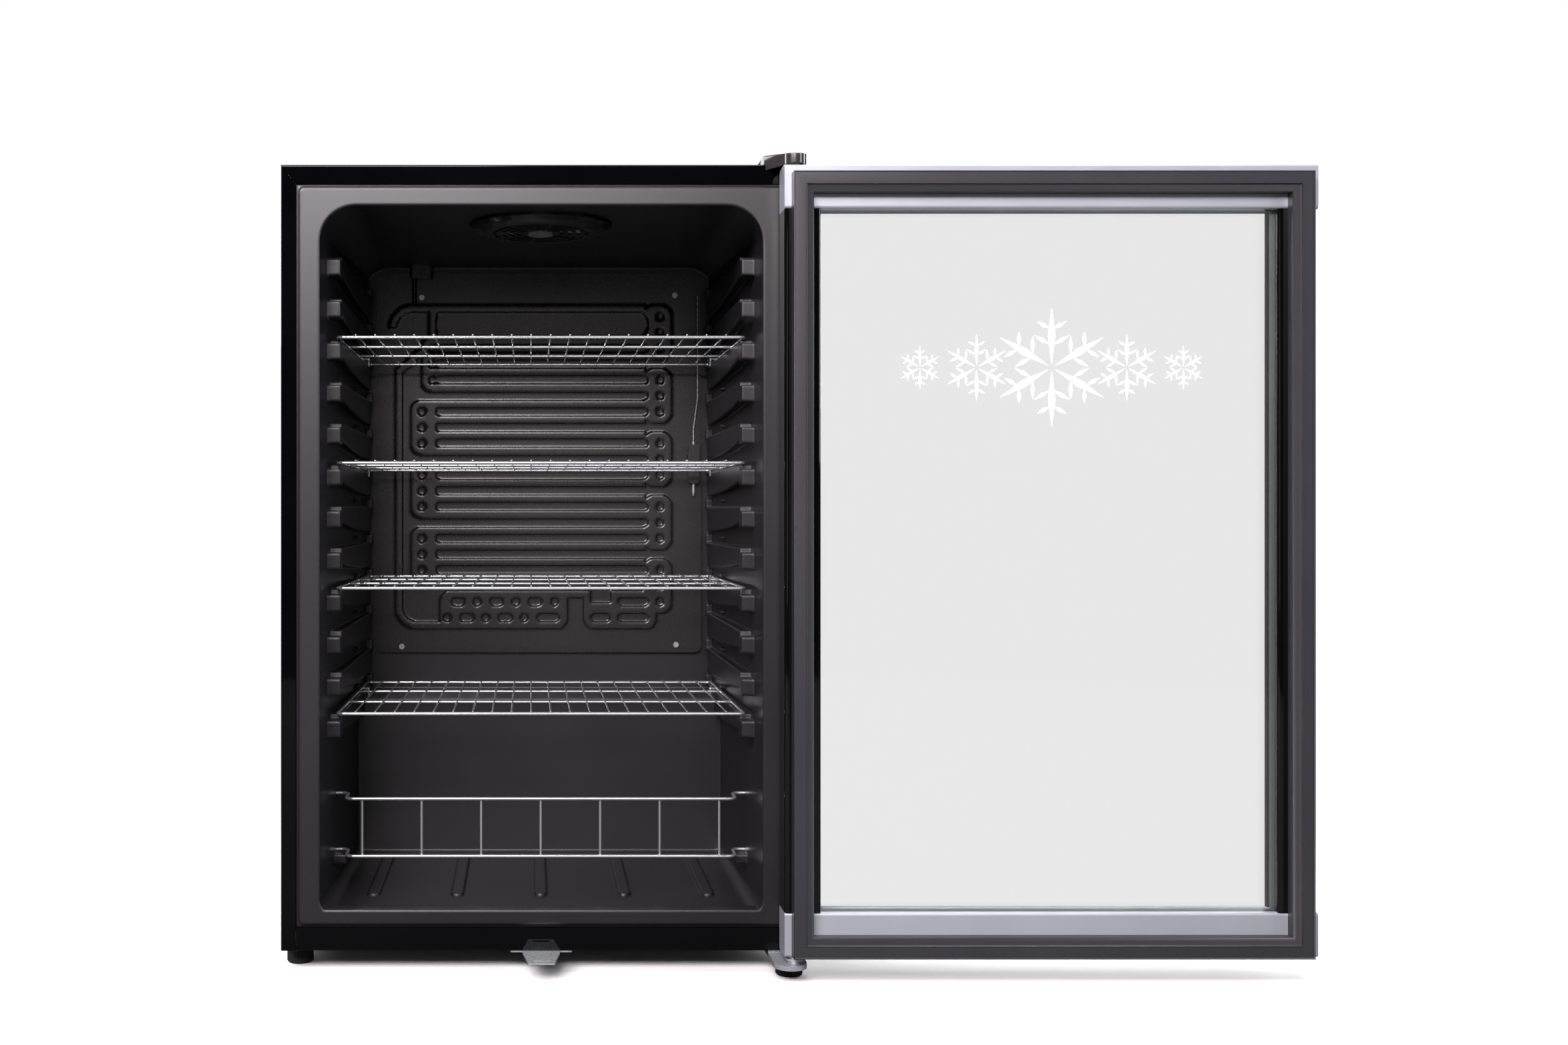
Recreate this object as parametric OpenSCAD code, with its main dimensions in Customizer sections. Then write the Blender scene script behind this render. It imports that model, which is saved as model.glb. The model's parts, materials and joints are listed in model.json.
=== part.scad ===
// Glass-door mini fridge: cabinet, liner, cooling circuit, wire shelves and a hinged glass door.
// X = 0 is the door's hinge axis, Y = 0 is halfway from the open door's seal to the rear panel,
// and Z = 0 is the floor. The door is drawn folded right back, beside the cabinet.

/* [Cabinet] */
// Width over the side panels
cab_w = 540; // [480:1:680]
// Depth from the front frame to the rear panel
cab_d = 485; // [470:1:600]
// Height of the cabinet box, without its feet
cab_h = 815; // [670:1:1000]
// Height of the box above the floor
foot_h = 23; // [22:0.5:30]
// Sheet thickness of the steel panels
sheet_t = 1; // [0.8:0.1:1.4]
// Outside radius of the panels' bends
bend_r = 2; // [1.6:0.1:4]
// Width of the front frame's side strips
frame_side = 15.5; // [13:0.5:22]
// Height of the front frame's top strip
frame_top = 20; // [17:0.5:26]
// Height of the crossbar under the opening
frame_bottom = 24; // [20:0.5:30]
// Depth of the hems behind the front frame
hem_d = 12; // [9:0.5:16]
// Gap in the mitre joints of the front frame
mitre_gap = 0.5; // [0.2:0.1:1]

/* [Liner] */
// Wall thickness of the inner liner
liner_t = 2; // [1.2:0.1:3]
// Width of the liner's face above the opening
face_w = 22; // [18:0.5:26]
// Width of the liner's face beside the opening
face_side = 24.5; // [20:0.5:29]
// Depth of the storage space
cavity_d = 412; // [400:1:480]
// How much each side wall leans in by the back
wall_lean = 8.5; // [4:0.5:12]
// Corner radius at the top of the opening
cavity_r_top = 38; // [20:1:50]
// Corner radius at the floor of the opening
cavity_r_bottom = 16; // [8:1:24]
// Height of the lip that holds spills in
lip_h = 5; // [3:0.5:8]
// Distance from the front frame to the compressor step
step_y = 307; // [300:1:340]
// Height of the compressor step above the liner's floor
step_h = 188; // [175:1:200]

/* [Shelves] */
// Vertical pitch of the shelf guides
guide_pitch = 45; // [38:1:56]
// Height of the guides' supporting edge
guide_h = 17; // [12:1:22]
// How far the guides stand out from the opening's edge
guide_out = 14; // [13:0.5:18]
// Depth of a wire shelf
shelf_d = 314; // [250:1:322]
// Clearance between a shelf and the opening, each side
shelf_side_gap = 9; // [8.5:0.5:12.5]
// Distance from the front frame to a shelf's front wire
shelf_front_y = 60; // [50:1:70]
// Thickness of the frame wire and cross wires
wire_d = 3.6; // [3.2:0.1:5]
// Thickness of the long thin wires
rod_d = 1.8; // [1.5:0.1:3]
// Number of long thin wires
rod_n = 20; // [12:1:26]

/* [Door] */
// Thickness of the door frame
door_t = 34; // [30:0.5:35]
// Gap between the closed door's frame and the cabinet
door_gap = 16; // [15:0.5:18]
// Distance of the hinge axis in from the cabinet's side
pivot_in = 12; // [10:0.5:14]
// Distance of the hinge axis in front of the cabinet
pivot_out = 27; // [26:0.5:30]
// Gap under the door above the cabinet's underside
door_lift = 4; // [3.5:0.5:8]
// Gap over the door below the cabinet's top
door_drop = 8; // [7:0.5:12]
// Height of the top and bottom rails
rail_h = 45; // [40:0.5:60]
// Width of the side stiles
stile_w = 37; // [36:0.5:55]
// How far the rails stand past the handle stile
rail_proud = 4; // [2:0.5:6]
// Radius of the door frame's long edges
door_edge_r = 3; // [1.5:0.5:5]
// Wall thickness of the hollow frame sections
section_t = 2.5; // [1.8:0.1:3.5]
// Thickness of one glass pane
pane_t = 4; // [3:0.5:6]
// Gap between the two panes
pane_gap = 12; // [8:0.5:12]
// How far the panes sit in the frame
pane_bite = 10; // [7:0.5:14]
// Width of the magnetic seal
seal_w = 22; // [18:0.5:26]
// Clearance between the seal and the closed cabinet
seal_gap = 0.5; // [0.3:0.1:1]

/* [Hardware] */
// Diameter of the hinge pins
pin_d = 8; // [6:0.5:10]
// Running clearance of pins and barrels, on the diameter
running_gap = 0.15; // [0.05:0.05:0.2]
// Thickness of the lower hinge bracket
hinge_t = 5; // [4:0.5:6]
// Diameter of the levelling feet
foot_d = 28; // [22:1:34]
// Height of the levelling feet's pads
foot_pad_h = 13.5; // [9:0.5:13.5]
// Diameter of the levelling feet's studs
stud_d = 8; // [6:0.5:10]
// Diameter of the lock barrel
lock_d = 18; // [14:0.5:22]
// Diameter of the thermostat and lamp housing
dome_d = 158; // [120:1:180]
// Height of the thermostat housing below the ceiling
dome_h = 10; // [9:0.5:18]
// Diameter of the thermostat knob
knob_d = 28; // [20:1:34]

/* [Cooling] */
// Width of the evaporator plate
plate_w = 420; // [340:1:424]
// Thickness of the evaporator plate
plate_t = 1.6; // [1:0.1:2.5]
// Height of the inflated channels
channel_h = 2.6; // [1.5:0.1:4]
// Width of a channel
channel_w = 9.7; // [7:0.1:12]
// Pitch of the channels
channel_pitch = 20.5; // [18:0.1:26]
// Outside diameter of the refrigerant tubes
tube_d = 6; // [4.5:0.1:8]
// Diameter of the compressor shell
comp_d = 126; // [110:1:130]
// Height of the compressor shell
comp_h = 128; // [110:1:140]

/* [Hidden] */
$fn = 48;
over = 1;          // how far a cutter runs past the face it cuts
seat = 0.2;        // clearance between pieces that sit in each other
weld = 0.3;        // how far welded wires sink into each other

cab_top = foot_h + cab_h;
half_w = cab_w / 2;
rear_lip = 14;     // width of the side panels' rear flanges

// The cabinet's centre and front plane in the part's frame
open_plane = 2 * pivot_out - door_gap;
seal_h = door_gap - seal_gap;
cab_x = pivot_in - half_w;
front_y = -(cab_d - open_plane - seal_h) / 2;

// The liner
face_half = half_w - frame_side - seat;
cavity_half = face_half - face_side;
face_z0 = foot_h + frame_bottom + seat;
face_z1 = cab_top - frame_top - seat;
sill_drop = 4;     // how much lower the face is under the opening than above it
mouth_z0 = face_z0 + face_w - sill_drop;
floor_z = mouth_z0 - lip_h;
ceiling_z = face_z1 - face_w;
step_z = floor_z + step_h;
face_t = 3;
face_groove_w = 3.3;
face_groove_d = 1.8;
rib_w = 13;        // the ribs on the liner's floor
rib_h = 2.5;
rib_y = 80;
rib_l = 200;

// The compressor bay
foam_t = 22;
bay_y = step_y + liner_t + foam_t;
bay_z = step_z - liner_t - foam_t;

// The shelf guides and shelves
guide_x = cavity_half - guide_out;
guide_y0 = shelf_front_y + 15;
guide_y1 = shelf_front_y + shelf_d + 10;
guide_bottom = step_z + 10.5;
nub_y = shelf_front_y + 208;   // a nub over the shelf's side wire keeps it from tipping
nub_l = 16;
gusset_n = 7;      // straight pieces in the arch under a guide
guide_n = floor((ceiling_z - 38 - guide_bottom) / guide_pitch) + 1;
shelf_step = floor((guide_n - 3) / 3);
shelf_gap = 0.25;
wire_thin = 0.6;   // how much thinner a shelf's middle cross wires are
hook_d = wire_d - 0.8;
shelf_half = cavity_half - shelf_side_gap;
function guide_top(level) = guide_bottom + level * guide_pitch;
function shelf_z(k) = guide_top((4 - k) * shelf_step) + shelf_gap + wire_d / 2;

// The evaporator plate
plate_y = cavity_d - 7;
plate_z1 = ceiling_z - 9;
plate_z0 = step_z + 48;
plate_h = plate_z1 - plate_z0;
lane_0 = 46;
lane_last = 4 * floor((plate_h - 72) / (4 * channel_pitch));
lane_left = -plate_w / 2 + 76;
lane_right = plate_w / 2 - 69;
header_left = -plate_w / 2 + 44;
header_right = plate_w / 2 - 38;
header_shift = 13.6;
dot_d = 10.5;
return_u = -plate_w / 2 + 28.5;
plate_screw_at = [[-plate_w / 2 + 58.4, 31.5], [plate_w / 2 - 34.3, 28.5],
    [-plate_w / 2 + 32.5, plate_h - 7.4], [plate_w / 2 - 32.8, plate_h - 9.8]];
screw_d = 4;
screw_head_d = 7;
function lane_v(i) = lane_0 + i * channel_pitch;

// The sensor clip, from the plate's middle and top
clip_u = plate_w / 2 - 10.5;
clip_v = 222;

// The tubes
sleeve_u = -plate_w / 2 + 49;
suction_y = cavity_d + liner_t + 22;
suction_out_z = plate_z1 + 4.5;
suction_front_y = plate_y - channel_h - tube_d / 2 - seat;
coil_x = half_w - sheet_t - tube_d / 2 - seat;
coil_y0 = 55;
coil_pitch = (cab_d - 2 * coil_y0) / 4;
coil_edge = 45;    // from the ends of the coils to the bay and to the top
coil_z0 = bay_z + coil_edge;
coil_z1 = cab_top - coil_edge;
coil_tail_z = foot_h + 90;

// The bottle guard
guard_y = 84;
guard_z0 = mouth_z0 + 37.5;
guard_z1 = mouth_z0 + 100;
guard_half = cavity_half - 17;
guard_n = 7;
guard_end_y = guard_y + 36;
guard_end_x = cavity_half - wall_lean * guard_end_y / cavity_d + liner_t / 2;

// The thermostat housing
dome_y = 110;
dome_rim = 3.5;
vent_pitch = 9;    // of the rings of slots
vent_spokes = 8;
vent_web = 4;

// The drain from the step to the tray over the compressor
drain_d = 12;
drain_y = cavity_d - 20;

// The compressor
comp_x = -40;
comp_y = (bay_y + cab_d) / 2 + 2;
comp_z = foot_h + sheet_t + 14;
comp_foot = [comp_d / 2 + 8, comp_d / 2 - 12];
tray_z = comp_z + comp_h + 3;
tray_h = 20;
gland_x = -half_w + 50;
gland_z = foot_h + 22;
gland_d = 14;

// The door, in a frame whose X runs from its hinge edge and whose Y runs from its inner face
door_w = cab_w;
door_z0 = foot_h + door_lift;
door_z1 = cab_top - door_drop;
stile_z0 = door_z0 + rail_h;
stile_z1 = door_z1 - rail_h;
door_free = door_w - rail_proud;
pane_y = (door_t - 2 * pane_t - pane_gap) / 2 - 1;
pocket_t = 2 * pane_t + pane_gap + 2 * seat;
pane_x0 = stile_w - pane_bite + seat;
pane_x1 = door_free - pane_x0;
pane_z0 = stile_z0 - pane_bite + seat;
pane_z1 = stile_z1 + pane_bite - seat;
seal_x0 = 7;
seal_x1 = door_free - 6;
seal_z0 = door_z0 + 2;
seal_z1 = door_z1 - 7;
seal_base = 9;
pivot_y = open_plane - pivot_out;
bush_d = pin_d + 5;
bush_h = 14;

// The hinges
nose_r = 10;
cover_back = 62;
cover_left = 41;
cover_h = 9;
cover_slope = 8;
cover_drop = cab_top - door_z1 - 1.6;
arm_t = 2.5;
hinge_z1 = foot_h - 3.5;
hinge_z0 = hinge_z1 - hinge_t;
hinge_foot_y = -3;
foot_in = 14;
foot_y = 45;       // from the front frame back to the left foot
washer_n = 3;
cap_in = 19;
cap_y = 24;
hinge_screw_at = [[-17, pivot_out + 18], [-17, pivot_out + 44], [0, pivot_out + 44]];
washer_d = pin_d + 7;

// The lock
lock_off = 5;
lock_x = half_w - lock_off;
lock_z = door_z0 + section_t + lock_d / 2 + 0.5;
lock_cam_y = 21;
lock_cam_l = lock_z - foot_h + 3.5;
lock_cam_w = 7;
lock_cam_t = 3;
keeper_t = 2;
keeper_out = 44;
keeper_z1 = foot_h;
keeper_w0 = 38.5;
keeper_w1 = 27;
keeper_slot_back = door_gap + lock_cam_y;

module in_cabinet() {
    translate([cab_x, front_y, 0]) children();
}

module in_door() {
    translate([-pivot_in, front_y - open_plane, 0]) children();
}

// Extrudes an X-Z outline along Y, from y0 to y1
module along_y(y0, y1) {
    translate([0, y1, 0]) rotate([90, 0, 0]) linear_extrude(y1 - y0) children();
}

// Extrudes a Y-Z outline along X, from x0 to x1
module along_x(x0, x1) {
    translate([x0, 0, 0]) rotate([90, 0, 90]) linear_extrude(x1 - x0) children();
}

module box(x0, x1, y0, y1, z0, z1) {
    translate([x0, y0, z0]) cube([x1 - x0, y1 - y0, z1 - z0]);
}

module mirrored() {
    children();
    mirror([1, 0, 0]) children();
}

// A rectangle with four equal round corners
module rounded(x0, x1, y0, y1, r) {
    translate([x0 + r, y0]) square([x1 - x0 - 2 * r, y1 - y0]);
    translate([x0, y0 + r]) square([x1 - x0, y1 - y0 - 2 * r]);
    for (x = [x0 + r, x1 - r], y = [y0 + r, y1 - r]) translate([x, y]) circle(r);
}

// A slot with round ends between two points on one level
module pill(x0, x1, y, d) {
    translate([x0 + d / 2, y - d / 2]) square([x1 - x0 - d, d]);
    for (x = [x0 + d / 2, x1 - d / 2]) translate([x, y]) circle(d = d);
}

// A rectangle whose corner at the origin is rounded
module nosed(w, d, r) {
    translate([r, 0]) square([w - r, d]);
    translate([0, r]) square([w, d - r]);
    translate([r, r]) circle(r);
}

// The section of a panel whose front edge is folded into a strip with a hem
module folded_edge(strip, depth) {
    difference() {
        nosed(strip, hem_d, bend_r);
        translate([sheet_t, sheet_t]) nosed(strip - 2 * sheet_t, hem_d, bend_r - sheet_t / 2);
    }
    translate([0, hem_d - sheet_t]) square([sheet_t, depth - hem_d + sheet_t]);
}

// A straight round bar between two points
module bar(a, b, d) {
    v = b - a;
    n = norm(v);
    tilt = acos(v.z / n);
    turn = atan2(v.y, v.x);
    translate(a) rotate([0, tilt, turn]) cylinder(h = n, d = d);
}

// A bent tube through a list of points, with a ball at each bend
module tube(points, d) {
    for (i = [0:len(points) - 2]) bar(points[i], points[i + 1], d);
    for (i = [1:len(points) - 2]) translate(points[i]) sphere(d = d + 0.2);
}

// Cabinet ---------------------------------------------------------------

// The part of the front strips above the mitre lines of the top corners
module above_mitre(gap) {
    along_y(-over, hem_d + over)
        polygon([[-half_w - over, cab_top + over], [half_w + over, cab_top + over],
            [half_w + over, cab_top + over / frame_side * frame_top + gap],
            [half_w - frame_side, cab_top - frame_top + gap],
            [-half_w + frame_side, cab_top - frame_top + gap],
            [-half_w - over, cab_top + over / frame_side * frame_top + gap]]);
}

module side_panel() {
    difference() {
        translate([-half_w, 0, foot_h]) linear_extrude(cab_h - sheet_t)
            union() {
                folded_edge(frame_side, cab_d);
                translate([0, cab_d - 2 * sheet_t]) square([rear_lip, sheet_t]);
            }
        difference() {
            above_mitre(-mitre_gap);
            box(-half_w - over, -half_w + sheet_t, -2 * over, hem_d + 2 * over, foot_h, cab_top);
        }
        at_rear_screws() translate([0, 0, -sheet_t - over])
            cylinder(h = sheet_t + 2 * over, d = screw_d);
    }
}

module left_side_panel() {
    color("#0b0b0c") in_cabinet() side_panel();
}

module right_side_panel() {
    color("#0b0b0c") in_cabinet() mirror([1, 0, 0]) side_panel();
}

module top_panel() {
    color("#0b0b0c") in_cabinet() difference() {
        along_x(-half_w, half_w) translate([0, cab_top]) mirror([0, 1]) mirror([1, -1])
            folded_edge(frame_top, cab_d);
        difference() {
            box(-half_w - over, half_w + over, -over, hem_d + over, cab_top - frame_top - over,
                cab_top - sheet_t);
            above_mitre(0);
        }
        translate([-half_w + cap_in, cap_y, cab_top - sheet_t - over])
            cylinder(h = sheet_t + 2 * over, d = screw_d);
    }
}

module front_crossbar() {
    half = half_w - frame_side - mitre_gap;
    color("#0b0b0c") in_cabinet() {
        along_x(-half, half) translate([0, foot_h]) mirror([1, -1]) difference() {
            nosed(frame_bottom, hem_d, bend_r);
            translate([sheet_t, sheet_t])
                nosed(frame_bottom - 2 * sheet_t, hem_d, bend_r - sheet_t / 2);
        }
        box(-half, half, hem_d, 2 * hem_d, foot_h, foot_h + sheet_t);
    }
}

module bottom_plate() {
    half = half_w - sheet_t - seat;
    color("#8d9093") in_cabinet() difference() {
        box(-half, half, 2 * hem_d + seat, bay_y, foot_h, foot_h + sheet_t);
        translate([-half_w + foot_in, foot_y, foot_h - over])
            cylinder(h = sheet_t + 2 * over, d = stud_d + 2);
    }
}

module compressor_bay_panel() {
    half = half_w - sheet_t - tube_d - 2;
    color("#8d9093") in_cabinet() difference() {
        union() {
            box(-half, half, bay_y, bay_y + sheet_t, foot_h + sheet_t, bay_z);
            box(-half, half, bay_y, cab_d - 2 * sheet_t - seat, bay_z, bay_z + sheet_t);
        }
        translate([sleeve_u, suction_y, bay_z - over])
            cylinder(h = sheet_t + 2 * over, d = tube_d + 2);
        translate([comp_x, drain_y, bay_z - over])
            cylinder(h = sheet_t + 2 * over, d = drain_d + 2 * seat);
    }
}

// The screws that hold the rear panel to the side panels' flanges, pointing backwards
module at_rear_screws() {
    for (x = [-1, 1], k = [0:3])
        translate([x * (half_w - 8), cab_d - sheet_t, bay_z + 30 + k * (cab_top - bay_z - 60) / 3])
            rotate([-90, 0, 0]) children();
}

module rear_panel() {
    color("#17181a") in_cabinet() difference() {
        box(-half_w + sheet_t + seat, half_w - sheet_t - seat, cab_d - sheet_t, cab_d,
            bay_z, cab_top - sheet_t - seat);
        at_rear_screws() cylinder(h = sheet_t + over, d = screw_d);
    }
}

module foam_insulation() {
    half = half_w - sheet_t - seat;
    foam_z0 = foot_h + sheet_t + seat;
    pocket = tube_d + 2 * seat;
    color("#e8dfb8") in_cabinet() difference() {
        box(-half, half, hem_d + seat, cab_d - 2 * sheet_t - seat, foam_z0,
            cab_top - sheet_t - seat);
        // the liner and the parts that stand in front of it
        cavity(liner_t + seat);
        // the crossbar's lower flange
        box(-half - over, half + over, 0, 2 * hem_d + seat, foot_h, foot_h + sheet_t + 1);
        // the compressor bay
        box(-half - over, half + over, bay_y - seat, cab_d + over, 0, bay_z + sheet_t + seat);
        // the coils against the side panels
        mirrored() box(half - pocket, half + over, coil_y0 - tube_d, cab_d - coil_y0 + tube_d,
            coil_z0 - coil_pitch / 2 - tube_d, coil_z1 + tube_d);
        // the thermostat body, the suction tube, the screws and the left foot's stud
        translate([0, dome_y, ceiling_z]) cylinder(h = 33, d = 62);
        translate([sleeve_u, suction_y, bay_z])
            cylinder(h = suction_out_z - bay_z + tube_d, d = tube_d + 1);
        translate([sleeve_u, suction_y + tube_d, suction_out_z]) rotate([90, 0, 0])
            cylinder(h = 40, d = tube_d + 1);
        for (p = plate_screw_at) translate([p.x, cavity_d, plate_z1 - p.y])
            rotate([-90, 0, 0]) cylinder(h = 16, d = screw_d + 0.5);
        translate([-half_w + foot_in, foot_y, foot_h]) cylinder(h = 20, d = stud_d + 3);
        at_rear_screws() translate([0, 0, -8]) cylinder(h = 8, d = screw_d + 0.5);
        translate([comp_x, drain_y, bay_z - over])
            cylinder(h = step_z - bay_z + 2 * over, d = drain_d + 2 * seat);
    }
}

// The storage space grown by g on every side, which is the liner's outside where g is its wall
module cavity(g) {
    y1 = cavity_d + g;
    lean = wall_lean / cavity_d;
    front = cavity_half + g + lean * over;
    back = cavity_half + g - lean * y1;
    difference() {
        intersection() {
            along_y(-over, y1) liner_outline(g);
            linear_extrude(cab_top + over)
                polygon([[-front, -over], [front, -over], [back, y1], [-back, y1]]);
        }
        box(-cab_w, cab_w, step_y + g, y1 + over, 0, step_z - g);
    }
}

module liner_outline(g) {
    x1 = cavity_half + g;
    z0 = floor_z - g;
    z1 = ceiling_z + g;
    rt = cavity_r_top + g;
    rb = cavity_r_bottom + g;
    translate([-x1, z0 + rb]) square([2 * x1, z1 - rt - z0 - rb]);
    translate([-x1 + rt, z1 - rt]) square([2 * (x1 - rt), rt]);
    translate([-x1 + rb, z0]) square([2 * (x1 - rb), rb]);
    for (s = [-1, 1]) {
        translate([s * (x1 - rt), z1 - rt]) circle(rt);
        translate([s * (x1 - rb), z0 + rb]) circle(rb);
    }
}

// One shelf guide on the right wall: ledge with its arched gusset, front block, rear stop and
// the nub over the wire
module guide(z) {
    x1 = cavity_half + liner_t;
    run = guide_y1 - guide_y0;
    drop = guide_pitch - 15 - guide_h;
    along_x(guide_x, x1) polygon(concat([[guide_y0, z], [guide_y1, z]],
        [for (k = [gusset_n:-1:0]) [guide_y0 + run * k / gusset_n,
            z - guide_h - drop * (1 - pow(1 - k / gusset_n, 2))]]));
    along_y(guide_y0 - 22, guide_y0) polygon([[guide_x - 1, z - 5], [x1, z - 5],
        [x1, z - guide_h - 6], [guide_x - 1, z - guide_h - 5]]);
    box(guide_x - 2, x1, guide_y1, guide_y1 + 6, z - 4, z + 11);
    box(guide_x + 3, x1, nub_y, nub_y + nub_l, z + wire_d + 3, z + wire_d + 6);
}

module inner_liner() {
    rib_pitch = 2 * cavity_half / 5.05;
    color("#1b1b1d") in_cabinet() difference() {
        union() {
            difference() {
                union() {
                    intersection() {
                        cavity(liner_t);
                        box(-cab_w, cab_w, 0, cab_d, 0, cab_top);
                    }
                    along_y(0, face_t) rounded(-face_half + face_groove_w,
                        face_half - face_groove_w, face_z0 + face_groove_w,
                        face_z1 - face_groove_w, 5);
                    along_y(face_groove_d, face_t)
                        rounded(-face_half, face_half, face_z0, face_z1, 1);
                    // the sleeve behind the face that reaches the foam
                    along_y(face_t, hem_d + seat) rounded(-cavity_half - liner_t,
                        cavity_half + liner_t, floor_z - liner_t, ceiling_z + liner_t,
                        cavity_r_bottom + liner_t);
                }
                cavity(0);
            }
            intersection() {
                cavity(liner_t / 2);
                union() {
                    for (i = [0:guide_n - 1]) mirrored() guide(guide_top(i));
                    box(-cavity_half, cavity_half, -0.01, 18, floor_z - liner_t, mouth_z0);
                    for (k = [-2:2]) translate([k * rib_pitch, 0, floor_z - 1])
                        linear_extrude(1 + rib_h)
                            rounded(-rib_w / 2, rib_w / 2, rib_y, rib_y + rib_l, rib_w / 2 - 0.1);
                    mirrored() box(guide_x - 2, cavity_half + liner_t, guard_end_y - 20,
                        guard_end_y + 12, guard_z0 - 12, guard_z0 - wire_d / 2 - shelf_gap);
                }
            }
        }
        for (p = plate_screw_at) translate([p.x, cavity_d - over, plate_z1 - p.y])
            rotate([-90, 0, 0]) cylinder(h = liner_t + 2 * over, d = screw_d);
        translate([sleeve_u, cavity_d - over, suction_out_z]) rotate([-90, 0, 0])
            cylinder(h = liner_t + 2 * over, d = tube_d + 1);
        translate([0, dome_y, ceiling_z - over]) cylinder(h = liner_t + 2 * over, d = 58);
        translate([comp_x, drain_y, step_z - liner_t - over])
            cylinder(h = liner_t + 2 * over, d = drain_d + 2 * seat);
        mirrored() translate([cavity_half, 0, 0]) for (z = [guard_z0, guard_z1])
            translate([-8, guard_end_y, z]) rotate([0, 90, 0])
                cylinder(h = 20, d = wire_d + 2 * seat);
    }
}

// Cooling circuit in the storage space ------------------------------------

// The channels' outline: u runs right from the plate's middle and v runs down from its top
module channel_outline() {
    w = channel_w / 2;
    block_v0 = lane_v(lane_last - 2) - w;
    block_v1 = lane_v(lane_last) + w;
    islands = channel_pitch - channel_w;
    difference() {
        union() {
            for (i = [0:lane_last - 3]) if (i != 1)
                translate([lane_left + 3, lane_v(i) - w])
                    square([lane_right - lane_left - 6, channel_w]);
            for (i = [0:4:lane_last - 4])
                rounded(lane_right - 6, header_right, lane_v(i) - w, lane_v(i + 3) + w, header_shift);
            for (i = [2:4:lane_last - 3])
                rounded(header_left + (i == 2 ? header_shift : 0), lane_left + 6 + header_shift,
                    lane_v(i) - w, lane_v(i + 3) + w, header_shift);
            // the last right header and the two accumulators below it
            rounded(lane_right - 6, header_right, lane_v(lane_last - 4) - w,
                lane_v(lane_last - 1) + w, header_shift);
            rounded(lane_left + 6, lane_left + 171, block_v0, block_v1, header_shift);
            rounded(lane_left + 192, header_right - 20, block_v0, block_v1, header_shift);
            translate([lane_left + 150, block_v0]) square([60, channel_w]);
            // the return channel down the left side, and the inlet
            translate([return_u - w, lane_v(4) - w]) square([channel_w, block_v1 - lane_v(4) - 12]);
            arc_band(return_u + 24, block_v1 - 24 - w, 24, 90, 180);
            translate([return_u + 24, block_v1 - channel_w]) square([62, channel_w]);
            slant_lane([return_u, lane_v(4)], [lane_left - 3, lane_v(2)]);
            translate([lane_left - 3 - w, lane_v(0)]) square([channel_w, lane_v(2) - lane_v(0)]);
            translate([sleeve_u - 4, lane_v(0) - w]) square([lane_left - sleeve_u + 12, channel_w]);
            arc_band(sleeve_u - 4, lane_v(0) + 24, 24, 180, 270);
        }
        for (i = [0:lane_last - 4]) if (i > 1)
            pill(lane_left, lane_right, lane_v(i + 0.5), islands);
        rounded(lane_left, lane_right, lane_v(0) + w, lane_v(2) - w, 14);
        for (i = [0:4:lane_last - 4], j = [0:2])
            translate([header_right - 15.4, lane_v(i + j + 0.5)]) circle(d = dot_d);
        for (i = [2:4:lane_last - 3], j = [0:2])
            translate([header_left + 14.5 + (i == 2 ? header_shift : 0), lane_v(i + j + 0.5)])
                circle(d = dot_d);
        // the accumulators' pins, long and round by turns
        for (j = [0:2]) {
            pill(lane_left + 20 + j * 50, lane_left + 38 + j * 50,
                lane_v(lane_last - 1.5), islands);
            translate([lane_left + 54 + j * 50, lane_v(lane_last - 1.5)]) circle(d = dot_d);
        }
        for (j = [0:2])
            translate([lane_left + 15 + j * 50, lane_v(lane_last - 0.5)]) circle(d = dot_d);
        for (j = [0:1]) pill(lane_left + 31 + j * 50, lane_left + 50 + j * 50,
            lane_v(lane_last - 0.5), islands);
        pill(lane_left + 131, lane_left + 160, lane_v(lane_last - 0.5), islands);
        translate([lane_left + 201, block_v0 - 6]) square([26, 22]);
        pill(lane_left + 236, lane_left + 276, lane_v(lane_last - 1.5), islands);
        pill(lane_left + 201, lane_left + 226, lane_v(lane_last - 0.5), islands);
        pill(lane_left + 236, lane_left + 276, lane_v(lane_last - 0.5), islands);
    }
}

// A quarter of a ring as wide as a channel, about (u, v), from angle a0 to a1
module arc_band(u, v, r, a0, a1) {
    far = 2 * r;
    translate([u, v]) intersection() {
        difference() {
            circle(r + channel_w / 2);
            circle(r - channel_w / 2);
        }
        polygon([[0, 0], far * [cos(a0), sin(a0)],
            far * 1.42 * [cos((a0 + a1) / 2), sin((a0 + a1) / 2)], far * [cos(a1), sin(a1)]]);
    }
}

// A straight channel between two points
module slant_lane(a, b) {
    v = b - a;
    translate(a) rotate(atan2(v.y, v.x))
        translate([0, -channel_w / 2]) square([norm(v), channel_w]);
    for (p = [a, b]) translate(p) circle(d = channel_w);
}

module evaporator_plate() {
    color("#202021") in_cabinet() translate([0, plate_y, plate_z1]) rotate([90, 0, 0]) {
        difference() {
            translate([0, 0, -plate_t]) linear_extrude(plate_t)
                rounded(-plate_w / 2, plate_w / 2, -plate_h, 0, 9);
            for (p = plate_screw_at) translate([p.x, -p.y, -plate_t - over])
                cylinder(h = plate_t + 2 * over, d = screw_d + seat);
        }
        translate([0, 0, -weld]) linear_extrude(channel_h + weld)
            mirror([0, 1]) channel_outline();
    }
}

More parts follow.
